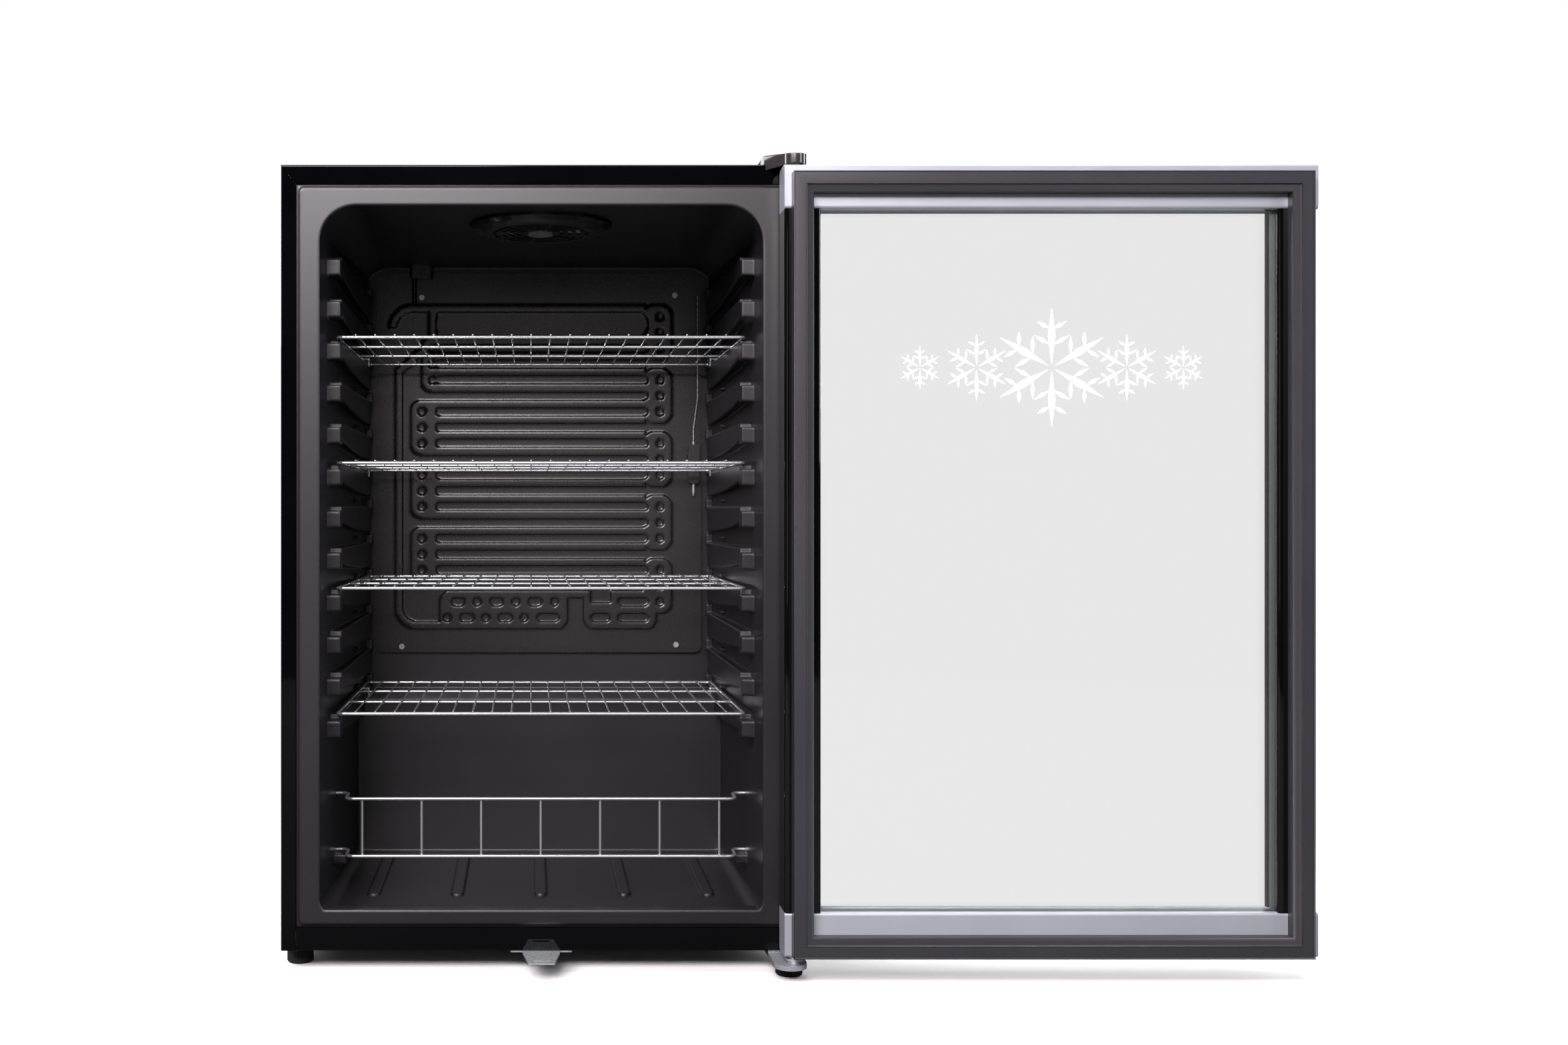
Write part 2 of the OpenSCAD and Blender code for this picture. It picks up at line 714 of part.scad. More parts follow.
module evaporator_screws() {
    gap = cavity_d - plate_y - plate_t;
    color("#c9c9cc") in_cabinet() for (p = plate_screw_at)
        translate([p.x, plate_y, plate_z1 - p.y]) rotate([-90, 0, 0]) {
            translate([0, 0, -2.2]) difference() {
                cylinder(h = 2.2, d = screw_head_d);
                translate([0, 0, -over]) cylinder(h = 1.2 + over, d = 2.6, $fn = 4);
            }
            cylinder(h = plate_t + gap + liner_t + 8, d = screw_d - seat);
            translate([0, 0, plate_t]) cylinder(h = gap, d = screw_head_d + 3);
        }
}

module suction_tube() {
    inlet_z = plate_z1 - lane_v(0) + 6;
    color("#2a2622") in_cabinet() tube([[comp_x - comp_d / 2 - seat, comp_y, comp_z + 100],
        [sleeve_u, comp_y, comp_z + 100], [sleeve_u, suction_y, comp_z + 115],
        [sleeve_u, suction_y, suction_out_z], [sleeve_u, suction_front_y, suction_out_z],
        [sleeve_u, suction_front_y, inlet_z]], tube_d);
}

module suction_sleeve() {
    color("#141415") in_cabinet() difference() {
        translate([0, 0, plate_z1 - 8]) linear_extrude(ceiling_z - plate_z1 + 8 - seat)
            rounded(sleeve_u - 6, sleeve_u + 24, suction_front_y - 6, plate_y - channel_h, 4);
        translate([sleeve_u, suction_front_y, plate_z1 - 8 - over])
            cylinder(h = 40, d = tube_d + 2 * seat);
        box(sleeve_u - tube_d / 2 - 3 * seat, sleeve_u + tube_d / 2 + 3 * seat,
            suction_front_y - 1, plate_y + over, plate_z1 - 8 - over, ceiling_z);
    }
}

module sensor_clip() {
    color("#111112") in_cabinet() translate([clip_u, plate_y, plate_z1 - clip_v]) difference() {
        union() {
            along_y(-9, 0) rounded(-7, 7, -50, 0, 3);
            box(-9, -7, -6, -2, -14, -10);
            box(-9, -7, -6, -2, -22, -18);
        }
        translate([0, -4.5, -60]) cylinder(h = 70, d = 4 + 2 * seat);
    }
}

module sensor_bulb() {
    color("#b9bcc0") in_cabinet() translate([clip_u, plate_y - 4.5, plate_z1 - clip_v]) {
        translate([0, 0, -62]) cylinder(h = 66, d = 4);
        translate([0, 0, -66]) cylinder(h = 4 + weld, d1 = 2, d2 = 4);
        tube([[0, 0, 3], [0, 0, 20], [5, -2, 60], [5, -2, clip_v - 30]], 2);
    }
}

// Thermostat and lamp ----------------------------------------------------

module thermostat_housing() {
    color("#161617") in_cabinet() translate([0, dome_y, ceiling_z]) mirror([0, 0, 1])
        difference() {
            rotate_extrude() polygon([[0, 0], [dome_d / 2, 0], [dome_d / 2, dome_rim],
                [dome_d / 2 - 7, dome_h - 3], [dome_d / 2 - 17, dome_h], [0, dome_h]]);
            translate([0, 0, -over]) rotate_extrude() polygon([[0, 0], [dome_d / 2 - 3, 0],
                [dome_d / 2 - 3, dome_rim - 1], [dome_d / 2 - 10, dome_h - 5 + over],
                [dome_d / 2 - 19, dome_h - 2 + over], [0, dome_h - 2 + over]]);
            // rings of slots, broken by spokes
            difference() {
                for (k = [0:3]) translate([0, 0, dome_h - 3]) rotate_extrude()
                    translate([knob_d / 2 + 8 + k * vent_pitch, 0]) square([vent_pitch / 2, 5]);
                for (k = [0:vent_spokes - 1]) rotate(k * 360 / vent_spokes + 12)
                    translate([0, -vent_web / 2, 0]) cube([dome_d, vent_web, 2 * dome_h]);
            }
            cylinder(h = 40, d = knob_d + 2);
        }
}

module lamp_board() {
    color("#e4e6e2") in_cabinet() translate([0, dome_y, ceiling_z - 3]) difference() {
        cylinder(h = 1.6, d = dome_d - 26);
        translate([0, 0, -over]) cylinder(h = 4, d = 64);
    }
}

module thermostat_control() {
    color("#3c3f44") in_cabinet() translate([0, dome_y, ceiling_z]) {
        translate([0, 0, -4.5]) cylinder(h = 32.5, d = 52);
        translate([0, 0, -dome_h]) cylinder(h = dome_h, d = 6);
    }
}

module thermostat_knob() {
    color("#8f9195") in_cabinet() translate([0, dome_y, ceiling_z - dome_h - 2]) difference() {
        union() {
            cylinder(h = 6.5, d = knob_d - 2);
            for (k = [0:23]) rotate(k * 15) translate([knob_d / 2 - 1.2, 0, 0])
                cylinder(h = 5, d = 2);
        }
        translate([0, 0, 2]) cylinder(h = 20, d = 6 + running_gap);
        translate([-1, 3, -over]) cube([2, 9, 1.8]);
    }
}

// Wire goods -------------------------------------------------------------

module bottle_guard() {
    r = 8;
    color("#d6d8da") in_cabinet() {
        for (z = [guard_z0, guard_z1]) {
            bar([-guard_half + r, guard_y, z], [guard_half - r, guard_y, z], wire_d);
            mirrored() {
                translate([guard_half - r, guard_y + r, z]) rotate(-90)
                    rotate_extrude(angle = 90) translate([r, 0]) circle(d = wire_d);
                bar([guard_half, guard_y + r, z], [guard_half, guard_end_y - r, z], wire_d);
                translate([guard_half + r, guard_end_y - r, z]) rotate(90)
                    rotate_extrude(angle = 90) translate([r, 0]) circle(d = wire_d);
                bar([guard_half + r, guard_end_y, z], [guard_end_x, guard_end_y, z], wire_d);
            }
        }
        for (k = [0:guard_n - 1])
            bar([-guard_half + 18 + k * (guard_half - 18) * 2 / (guard_n - 1), guard_y + 2,
                guard_z0], [-guard_half + 18 + k * (guard_half - 18) * 2 / (guard_n - 1),
                guard_y + 2, guard_z1], wire_d - 0.7);
    }
}

module shelf(k) {
    r = 6;
    z = shelf_z(k);
    y0 = shelf_front_y + wire_d / 2;
    y1 = shelf_front_y + shelf_d - wire_d / 2;
    x1 = shelf_half - wire_d / 2;
    rod_z = z + wire_d / 2 + rod_d / 2 - weld;
    rod_pitch = 2 * (x1 - 20) / (rod_n - 1);
    color("#d6d8da") in_cabinet() {
        for (y = [y0, y1]) bar([-x1 + r, y, z], [x1 - r, y, z], wire_d);
        mirrored() {
            bar([x1, y0 + r, z], [x1, y1 - r, z], wire_d);
            translate([x1 - r, y0 + r, z]) rotate(-90)
                rotate_extrude(angle = 90) translate([r, 0]) circle(d = wire_d);
            translate([x1 - r, y1 - r, z])
                rotate_extrude(angle = 90) translate([r, 0]) circle(d = wire_d);
            bar([guide_x - 6, y1 - 70, z], [guide_x - 6, y1 - 70, z - 9], hook_d);
            bar([guide_x - 6, y1 - 70, z], [x1, y1 - 70, z], hook_d);
            translate([guide_x - 6, y1 - 70, z]) sphere(d = hook_d + 0.2);
        }
        for (y = [y0 + (y1 - y0) / 3, y0 + (y1 - y0) * 2 / 3])
            bar([-x1, y, z + wire_thin / 2], [x1, y, z + wire_thin / 2], wire_d - wire_thin);
        for (i = [0:rod_n - 1])
            bar([-x1 + 20 + i * rod_pitch, y0 - 2, rod_z], [-x1 + 20 + i * rod_pitch, y1 + 1, rod_z],
                rod_d);
    }
}

module shelf_1() { shelf(1); }
module shelf_2() { shelf(2); }
module shelf_3() { shelf(3); }
module shelf_4() { shelf(4); }

// Hinges, feet and lock ---------------------------------------------------

// The top hinge's plan about its pin, grown by g
module arm_plan(g) {
    circle(nose_r - 2 + g);
    polygon([[pivot_in - 2 + g, 0], [pivot_in - 2 + g, pivot_out + cover_back - 6 + g],
        [-cover_left + pivot_in + 3 - g, pivot_out + cover_back - 6 + g],
        [-cover_left + pivot_in + 3 - g, pivot_out + 3], [-nose_r + 2 - g, 0]]);
}

module at_pivot() {
    translate([half_w - pivot_in, -pivot_out, 0]) children();
}

module top_hinge_bracket() {
    color("#9da0a3") in_cabinet() at_pivot() difference() {
        translate([0, 0, cab_top]) linear_extrude(arm_t) arm_plan(0);
        for (p = hinge_screw_at) translate([p.x, p.y, cab_top - over])
            cylinder(h = arm_t + 2 * over, d = screw_d + seat);
    }
}

module top_hinge_cover() {
    color("#3a3839") in_cabinet() at_pivot() difference() {
        union() {
            translate([0, 0, cab_top]) linear_extrude(cover_h) arm_plan(2);
            intersection() {
                translate([0, 0, cab_top - cover_drop]) linear_extrude(cover_h) arm_plan(2);
                box(-cab_w, cab_w, -cab_d, pivot_out - seat, 0, 2 * cab_h);
            }
        }
        translate([0, 0, cab_top - cover_drop - over])
            linear_extrude(cover_drop + arm_t + over) arm_plan(seat);
        for (p = hinge_screw_at) translate([p.x, p.y, cab_top])
            cylinder(h = arm_t + 3, d = screw_head_d + 2);
        // the top slopes down to the nose
        translate([-cab_w / 2, pivot_out, cab_top + cover_h]) rotate([cover_slope, 0, 0])
            translate([0, -cab_d, 0]) cube([cab_w, cab_d, cover_h + 20]);
    }
}

module top_hinge_pin() {
    color("#c4c6c8") in_cabinet() at_pivot() {
        translate([0, 0, door_z1 - bush_h + 2]) cylinder(h = cab_top - door_z1 + bush_h - 2, d = pin_d);
        translate([0, 0, door_z1 + seat]) cylinder(h = cab_top - door_z1 - seat, d = pin_d + 3);
    }
}

module hinge_screws() {
    color("#c4c6c8") in_cabinet() at_pivot() {
        for (p = hinge_screw_at) {
            translate([p.x, p.y, cab_top + arm_t]) cylinder(h = 2.4, d = screw_head_d);
            translate([p.x, p.y, cab_top]) cylinder(h = arm_t, d = screw_d - seat);
            translate([p.x, p.y, hinge_z0 - 2.4]) cylinder(h = 2.4, d = screw_head_d);
            translate([p.x, p.y, hinge_z0]) cylinder(h = foot_h - hinge_z0, d = screw_d - seat);
        }
    }
}

module hinge_blank_cap() {
    color("#121213") in_cabinet() translate([-half_w + cap_in, cap_y, cab_top]) {
        cylinder(h = 2, d = 25);
        translate([0, 0, -sheet_t]) cylinder(h = sheet_t, d = screw_d - seat);
    }
}

module bottom_hinge_bracket() {
    color("#b4b7ba") in_cabinet() at_pivot() difference() {
        union() {
            translate([0, 0, hinge_z0]) linear_extrude(hinge_t) {
                translate([-5, 0]) circle(17);
                translate([-22, 0]) square([34, pivot_out + 56]);
            }
            box(-22, 12, pivot_out + 6, pivot_out + 56, hinge_z1 - over, foot_h);
        }
        for (p = hinge_screw_at) translate([p.x, p.y, hinge_z0 - over])
            cylinder(h = foot_h - hinge_z0 + 2 * over, d = screw_d + seat);
        translate([pivot_in - foot_in, pivot_out + hinge_foot_y, hinge_z0 - over])
            cylinder(h = hinge_t + 2 * over, d = stud_d + running_gap);
        translate([0, 0, hinge_z0 - over]) cylinder(h = hinge_t + 2 * over, d = pin_d - 2);
    }
}

module bottom_hinge_pin() {
    color("#d0d2d4") in_cabinet() at_pivot() {
        translate([0, 0, hinge_z1]) cylinder(h = door_z0 + bush_h - 2 - hinge_z1, d = pin_d);
        translate([0, 0, hinge_z0]) cylinder(h = hinge_t, d = pin_d - 2);
    }
}

module hinge_washers() {
    stack = door_z0 - hinge_z1 - 2 * seat;
    color("#d0d2d4") in_cabinet() at_pivot() difference() {
        for (k = [0:washer_n - 1]) translate([0, 0, hinge_z1 + k * stack / washer_n])
            cylinder(h = stack / washer_n - 0.2, d = washer_d + (k % 2) * 4);
        translate([0, 0, hinge_z1 - over]) cylinder(h = stack + 2 * over, d = pin_d + seat);
    }
}

module lock_keeper() {
    color("#aeb2b6") in_cabinet() difference() {
        translate([0, 0, keeper_z1 - keeper_t]) {
            linear_extrude(keeper_t) rounded(-32.5, 32.5, 2, 24, 3);
            linear_extrude(keeper_t) polygon([[-keeper_w0 / 2, 8], [keeper_w0 / 2, 8],
                [keeper_w0 / 2, -6], [keeper_w1 / 2, -keeper_out], [-keeper_w1 / 2, -keeper_out],
                [-keeper_w0 / 2, -6]]);
        }
        translate([0, 0, keeper_z1 - keeper_t - over]) linear_extrude(keeper_t + 2 * over)
            pill(-9.5, 9.5, -keeper_slot_back, lock_cam_t + 3);
        for (x = [-25, 25]) translate([x, 14, keeper_z1 - keeper_t - over])
            cylinder(h = keeper_t + 2 * over, d = screw_d);
    }
}

module foot_pad(stud_top) {
    difference() {
        union() {
            cylinder(h = 2, d1 = foot_d - 3, d2 = foot_d);
            translate([0, 0, 2]) cylinder(h = foot_pad_h - 2, d = foot_d);
            cylinder(h = stud_top, d = stud_d);
        }
        for (k = [0:23]) rotate(k * 15) translate([foot_d / 2 + 0.4, 0, 3])
            cylinder(h = foot_pad_h, d = 2);
    }
}

module left_foot() {
    color("#1a1a1b") in_cabinet() translate([-half_w + foot_in, foot_y, 0]) foot_pad(foot_h + 14);
}

module right_foot() {
    color("#1a1a1b") in_cabinet() translate([half_w - foot_in, hinge_foot_y, 0])
        foot_pad(foot_h - seat);
}

module rear_feet() {
    color("#1a1a1b") in_cabinet() mirrored() translate([half_w - 30, cab_d - 30, 0]) {
        cylinder(h = foot_h, d = foot_d);
    }
}

// Compressor bay -----------------------------------------------------------

module compressor() {
    color("#1d1e20") in_cabinet() translate([comp_x, comp_y, comp_z]) {
        r = comp_d / 2;
        rotate_extrude() intersection() {
            union() {
                translate([0, 12]) square([r, comp_h - 40]);
                translate([0, 4]) square([r - 8, 20]);
                translate([r - 12, 12]) square([12, 6]);
                translate([0, comp_h - 28]) circle(r);
                translate([0, comp_h * 0.42]) square([r + 3, 5]);
            }
            translate([0, 4]) square([r + 4, comp_h - 4]);
        }
        for (sx = [-1, 1]) translate([sx * comp_foot.x, 0, 0]) difference() {
            translate([-sx * 18 - 14, -comp_foot.y - 12, 1]) cube([28, 2 * comp_foot.y + 24, 3.5]);
            for (sy = [-1, 1]) translate([0, sy * comp_foot.y, 0])
                cylinder(h = 8, d = 12 + seat);
        }
        translate([-r * 0.5, r * 0.5, comp_h - 22]) rotate([-60, 0, 40])
            cylinder(h = 24, d = tube_d + 2);
    }
}

module compressor_base_plate() {
    half = half_w - sheet_t - seat;
    color("#8d9093") in_cabinet() difference() {
        union() {
            box(-half, half, bay_y + sheet_t + seat, cab_d - 2 * sheet_t - seat, foot_h,
                foot_h + 2 * sheet_t);
            box(-half + rear_lip, half - rear_lip, cab_d - 2 * sheet_t - seat, cab_d - seat,
                foot_h, foot_h + 16);
            box(gland_x - 18, gland_x + 18, cab_d - 2 * sheet_t - seat, cab_d - seat,
                foot_h, gland_z + 14);
        }
        translate([gland_x, cab_d + over, gland_z]) rotate([90, 0, 0])
            cylinder(h = 10, d = gland_d);
        for (sx = [-1, 1], sy = [-1, 1])
            translate([comp_x + sx * comp_foot.x, comp_y + sy * comp_foot.y, foot_h - over])
                cylinder(h = 2 * sheet_t + 2 * over, d = 6 + seat);
    }
}

module at_comp_feet() {
    for (sx = [-1, 1], sy = [-1, 1])
        translate([comp_x + sx * comp_foot.x, comp_y + sy * comp_foot.y, 0]) children();
}

module compressor_grommets() {
    z0 = foot_h + 2 * sheet_t;
    color("#2b2b2c") in_cabinet() at_comp_feet() difference() {
        union() {
            translate([0, 0, z0]) cylinder(h = comp_z + 1 - z0, d = 20);
            translate([0, 0, z0]) cylinder(h = comp_z + 4.5 - z0 + 3, d = 12);
        }
        translate([0, 0, z0 - over]) cylinder(h = 40, d = 6 + 2 * seat);
    }
}

module compressor_bolts() {
    color("#c4c6c8") in_cabinet() at_comp_feet() {
        translate([0, 0, foot_h - 3]) cylinder(h = comp_z - foot_h + 14, d = 6);
        translate([0, 0, foot_h - 4]) cylinder(h = 4, d = 11.5, $fn = 6);
        translate([0, 0, comp_z + 8]) cylinder(h = 4, d = 16);
    }
}

module relay_cover() {
    color("#24262a") in_cabinet() translate([comp_x + comp_d / 2 + 4, comp_y - 24, comp_z + 28])
        difference() {
            cube([34, 48, 56]);
            translate([-over, 3, 3]) cube([31, 42, 50]);
        }
}

module filter_dryer() {
    x = half_w - 62;
    y = cab_d - 62;
    z = foot_h + 44;
    color("#a66c3c") in_cabinet() {
        translate([x, y, z]) {
            cylinder(h = 70, d = 19);
            translate([0, 0, 70 - weld]) cylinder(h = 12, d1 = 19, d2 = tube_d);
            translate([0, 0, -12]) cylinder(h = 12 + weld, d1 = tube_d, d2 = 19);
        }
        tube([[coil_x, cab_d - coil_y0, coil_tail_z], [coil_x, cab_d - coil_y0, z - 24],
            [x, y, z - 24], [x, y, z - 11]], tube_d);
        // the capillary, which runs to the suction tube
        tube([[x, y, z + 80], [x, y, bay_z - 12], [sleeve_u + tube_d / 2 + 2, suction_y, bay_z - 12]],
            2.4);
    }
}

module discharge_tube() {
    z = comp_z + comp_h * 0.62;
    color("#a66c3c") in_cabinet() tube([[comp_x - comp_d / 2 - seat, comp_y - 8, z],
        [comp_x - comp_d / 2 - 40, comp_y - 8, z], [comp_x - comp_d / 2 - 40, comp_y - 8, z - 28],
        [-coil_x, cab_d - coil_y0, z - 28], [-coil_x, cab_d - coil_y0, coil_tail_z]], tube_d);
}

module condenser_coils() {
    r = coil_pitch / 2;
    color("#a66c3c") in_cabinet() mirrored() translate([coil_x, 0, 0]) {
        for (k = [0:4]) bar([0, coil_y0 + k * coil_pitch, k == 4 ? coil_tail_z : coil_z0],
            [0, coil_y0 + k * coil_pitch, coil_z1 - r], tube_d);
        for (k = [0:3]) translate([0, coil_y0 + (k + 0.5) * coil_pitch,
            k % 2 == 0 ? coil_z1 - r : coil_z0])
            rotate([k % 2 == 0 ? 0 : 180, 0, 0]) rotate([90, 0, 90])
                rotate_extrude(angle = 180) translate([r, 0]) circle(d = tube_d);
    }
}

module evaporation_tray() {
    color("#2a2a2c") in_cabinet() translate([comp_x, comp_y, tray_z]) difference() {
        linear_extrude(tray_h) rounded(-58, 58, -42, 42, 10);
        translate([0, 0, 2]) linear_extrude(tray_h) rounded(-56, 56, -40, 40, 8);
    }
}

module drain_tube() {
    z0 = tray_z + tray_h + 3;
    color("#1b1b1d") in_cabinet() translate([comp_x, drain_y, 0]) difference() {
        union() {
            translate([0, 0, z0]) cylinder(h = step_z - z0, d = drain_d);
            translate([0, 0, step_z]) cylinder(h = 1.5, d = drain_d + 8);
        }
        translate([0, 0, z0 - over]) cylinder(h = step_z - z0 + 4, d = drain_d - 3);
    }
}

module panel_screws() {
    color("#2b2b2c") in_cabinet() at_rear_screws() {
        translate([0, 0, -7]) cylinder(h = 7 + sheet_t, d = screw_d - seat);
        translate([0, 0, sheet_t]) cylinder(h = 1.4, d = screw_head_d);
    }
}

module cord_gland() {
    y1 = cab_d - seat;
    color("#1a1a1b") in_cabinet() translate([gland_x, y1, gland_z]) rotate([90, 0, 0])
        difference() {
            union() {
                cylinder(h = 8, d = gland_d - seat);
                translate([0, 0, 2 * sheet_t]) cylinder(h = 3, d = gland_d + 5);
            }
            translate([0, 0, -over]) cylinder(h = 8 + 2 * over, d = 7.5);
        }
}

// Door ---------------------------------------------------------------------

// The section of a frame member w wide, with its glass pocket and hollow chamber
module frame_section(w) {
    difference() {
        rounded(0, w, 0, door_t, door_edge_r);
        translate([w - pane_bite, pane_y - seat]) square([pane_bite + over, pocket_t]);
        rounded(section_t, w - pane_bite - section_t, section_t, door_t - section_t, 1);
    }
}

// One rail: the hollow stops short of its ends, and the bush and lock pass through it
module rail() {
    end_t = 4;
    difference() {
        along_x(0, door_w) translate([0, door_z0]) mirror([1, -1])
            rounded(0, rail_h, 0, door_t, door_edge_r);
        along_x(pane_x0 - seat, pane_x1 + seat) translate([0, door_z0]) mirror([1, -1])
            translate([rail_h - pane_bite, pane_y - seat]) square([pane_bite + over, pocket_t]);
        along_x(end_t + 26, door_w - end_t) translate([0, door_z0]) mirror([1, -1])
            rounded(section_t, rail_h - pane_bite - section_t, section_t,
                door_t - section_t, 1);
        translate([pivot_in, pivot_y, door_z0 - over]) cylinder(h = bush_h + over, d = bush_d);
    }
}

module door_bottom_rail() {
    color("#b2b1b7") in_door() difference() {
        rail();
        // the lock's hole through the outer wall, and the cam's slot in the underside
        translate([lock_x, door_t - 16, lock_z]) rotate([-90, 0, 0])
            cylinder(h = 20, d = lock_d + seat);
        translate([lock_x, lock_cam_y, door_z0 - over]) linear_extrude(section_t + 2 * over)
            pill(-7, 24, 0, lock_cam_t + 3);
    }
}

module door_top_rail() {
    color("#c6c9d2") in_door() translate([0, 0, door_z0 + door_z1]) mirror([0, 0, 1]) rail();
}

module stile(w) {
    translate([0, 0, stile_z0]) linear_extrude(stile_z1 - stile_z0) frame_section(w);
}

module door_hinge_stile() {
    color("#0d0d0e") in_door() stile(stile_w);
}

module door_handle_stile() {
    color("#0d0d0e") in_door() translate([door_free, 0, 0]) mirror([1, 0, 0]) stile(stile_w);
}

module pane(y) {
    box(pane_x0, pane_x1, y, y + pane_t, pane_z0, pane_z1);
}

module inner_glass() {
    color("#dfe8e6", 0.35) in_door() pane(pane_y);
}

module outer_glass() {
    color("#dfe8e6", 0.35) in_door() pane(pane_y + pane_t + pane_gap);
}

module glass_spacer() {
    rim = 7;
    color("#5b605f") in_door() along_y(pane_y + pane_t, pane_y + pane_t + pane_gap) difference() {
        translate([pane_x0 + 2, pane_z0 + 2])
            square([pane_x1 - pane_x0 - 4, pane_z1 - pane_z0 - 4]);
        translate([pane_x0 + 2 + rim, pane_z0 + 2 + rim])
            square([pane_x1 - pane_x0 - 4 - 2 * rim, pane_z1 - pane_z0 - 4 - 2 * rim]);
    }
}

// The seal's section: magnet bulb at the outer edge, lower bellows at the inner edge
module seal_section() {
    difference() {
        union() {
            rounded(0, 14, 0, seal_h - 0.6, 1.5);
            translate([1.2, seal_h - 1.2]) circle(1.2);
            translate([13, seal_h - 1.2]) circle(1.2);
            rounded(0, seal_w, 0, seal_base, 1.5);
        }
        magnet_section(seat);
    }
}

module magnet_section(g) {
    translate([3 - g, seal_h - 5.5 - g]) square([8 + 2 * g, 3 + 2 * g]);
}

// Lays a section around the door as four mitred lengths
module seal_ring() {
    w = seal_x1 - seal_x0;
    h = seal_z1 - seal_z0;
    mitre = seal_w + 8;
    translate([seal_x0, 0, seal_z0]) for (k = [0:3]) {
        run = k % 2 == 0 ? w : h;
        at = [[0, 0], [w, 0], [w, h], [0, h]][k];
        translate([at.x, 0, at.y]) rotate([0, -90 * k, 0]) intersection() {
            rotate([90, 0, 90]) linear_extrude(run) mirror([1, -1]) children();
            along_y(-mitre, 1)
                polygon([[0, 0], [run, 0], [run - mitre, mitre], [mitre, mitre]]);
        }
    }
}

module door_gasket() {
    color("#39393e") in_door() seal_ring() mirror([0, 1]) seal_section();
}

module gasket_magnets() {
    color("#2a2422") in_door() seal_ring() mirror([0, 1]) magnet_section(0);
}

module hinge_bushes() {
    color("#d9d9d6") in_door() for (z = [door_z0, door_z1 - bush_h])
        translate([pivot_in, pivot_y, z]) difference() {
            cylinder(h = bush_h, d = bush_d - seat);
            translate([0, 0, -over]) cylinder(h = bush_h + 2 * over, d = pin_d + running_gap);
        }
}

module lock_housing() {
    color("#9c9fa3") in_door() translate([lock_x, door_t, lock_z]) rotate([90, 0, 0]) difference() {
        cylinder(h = 8, d = lock_d);
        translate([0, 0, -over]) cylinder(h = 8 + 2 * over, d = lock_d - 4);
    }
}

module lock_barrel() {
    color("#d2d4d6") in_door() translate([lock_x, 0, lock_z]) {
        translate([0, door_t - seat, 0]) rotate([90, 0, 0]) difference() {
            cylinder(h = door_t - lock_cam_y - lock_cam_t / 2, d = lock_d - 4 - running_gap);
            translate([-0.7, -4, -over]) cube([1.4, 8, 3 + over]);
        }
        translate([0, lock_cam_y + lock_cam_t / 2, 0]) rotate([90, 0, 0])
            linear_extrude(lock_cam_t) {
                circle(d = lock_cam_w + 2);
                translate([0, -lock_cam_w / 2]) square([lock_cam_l, lock_cam_w]);
            }
    }
}

left_side_panel();
right_side_panel();
top_panel();
front_crossbar();
bottom_plate();
compressor_bay_panel();
rear_panel();
foam_insulation();
inner_liner();
evaporator_plate();
evaporator_screws();
suction_tube();
suction_sleeve();
sensor_clip();
sensor_bulb();
thermostat_housing();
lamp_board();
thermostat_control();
thermostat_knob();
bottle_guard();
shelf_1();
shelf_2();
shelf_3();
shelf_4();
top_hinge_bracket();
top_hinge_cover();
top_hinge_pin();
hinge_screws();
hinge_blank_cap();
bottom_hinge_bracket();
bottom_hinge_pin();
hinge_washers();
lock_keeper();
left_foot();
right_foot();
rear_feet();
compressor();
compressor_base_plate();
compressor_grommets();
compressor_bolts();
relay_cover();
filter_dryer();
discharge_tube();
condenser_coils();
evaporation_tray();
drain_tube();
cord_gland();
panel_screws();
door_top_rail();
door_bottom_rail();
door_hinge_stile();
door_handle_stile();
outer_glass();
inner_glass();
glass_spacer();
door_gasket();
gasket_magnets();
hinge_bushes();
lock_housing();
lock_barrel();
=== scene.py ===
# %% [markdown]
# A compact glass-door fridge, standing open. The measured model gives every size and joint.
# This notebook gives it its looks. Each cell says what the real piece is, how it could be
# made in Blender, and why it is made the way it is.

# %% Load the measured model
import json
import math

import bmesh
import bpy
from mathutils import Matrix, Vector

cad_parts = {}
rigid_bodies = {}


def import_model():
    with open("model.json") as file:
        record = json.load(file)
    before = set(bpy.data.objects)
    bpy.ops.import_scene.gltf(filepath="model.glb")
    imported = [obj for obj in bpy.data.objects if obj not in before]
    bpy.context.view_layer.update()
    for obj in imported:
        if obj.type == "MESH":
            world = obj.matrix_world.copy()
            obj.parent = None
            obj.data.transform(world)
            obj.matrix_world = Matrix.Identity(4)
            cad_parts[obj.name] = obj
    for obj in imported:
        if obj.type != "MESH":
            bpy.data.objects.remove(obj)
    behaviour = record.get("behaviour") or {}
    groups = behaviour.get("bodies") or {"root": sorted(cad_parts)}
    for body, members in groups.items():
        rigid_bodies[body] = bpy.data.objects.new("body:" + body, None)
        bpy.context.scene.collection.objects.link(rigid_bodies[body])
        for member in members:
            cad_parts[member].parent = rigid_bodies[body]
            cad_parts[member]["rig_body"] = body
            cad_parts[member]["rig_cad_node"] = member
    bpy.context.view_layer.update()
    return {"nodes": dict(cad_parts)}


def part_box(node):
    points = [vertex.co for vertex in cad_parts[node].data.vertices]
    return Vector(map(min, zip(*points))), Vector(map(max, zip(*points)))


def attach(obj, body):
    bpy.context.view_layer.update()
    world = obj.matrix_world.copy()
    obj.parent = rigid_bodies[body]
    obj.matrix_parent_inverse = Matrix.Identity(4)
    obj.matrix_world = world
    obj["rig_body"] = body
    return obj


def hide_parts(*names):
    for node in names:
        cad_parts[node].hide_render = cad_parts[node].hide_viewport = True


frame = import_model()
nodes = frame["nodes"]

# %% [markdown]
# A view is chosen before anything is painted, because it says which surfaces matter most.
# The camera stands in front of the open cabinet at half its height, level, so that upright
# edges stay upright. A level camera that has to frame more on one side is shifted, not turned.

# %% Camera
MM = 0.001
VIEW_FROM = (-0.2697, -1.83575, 0.478)

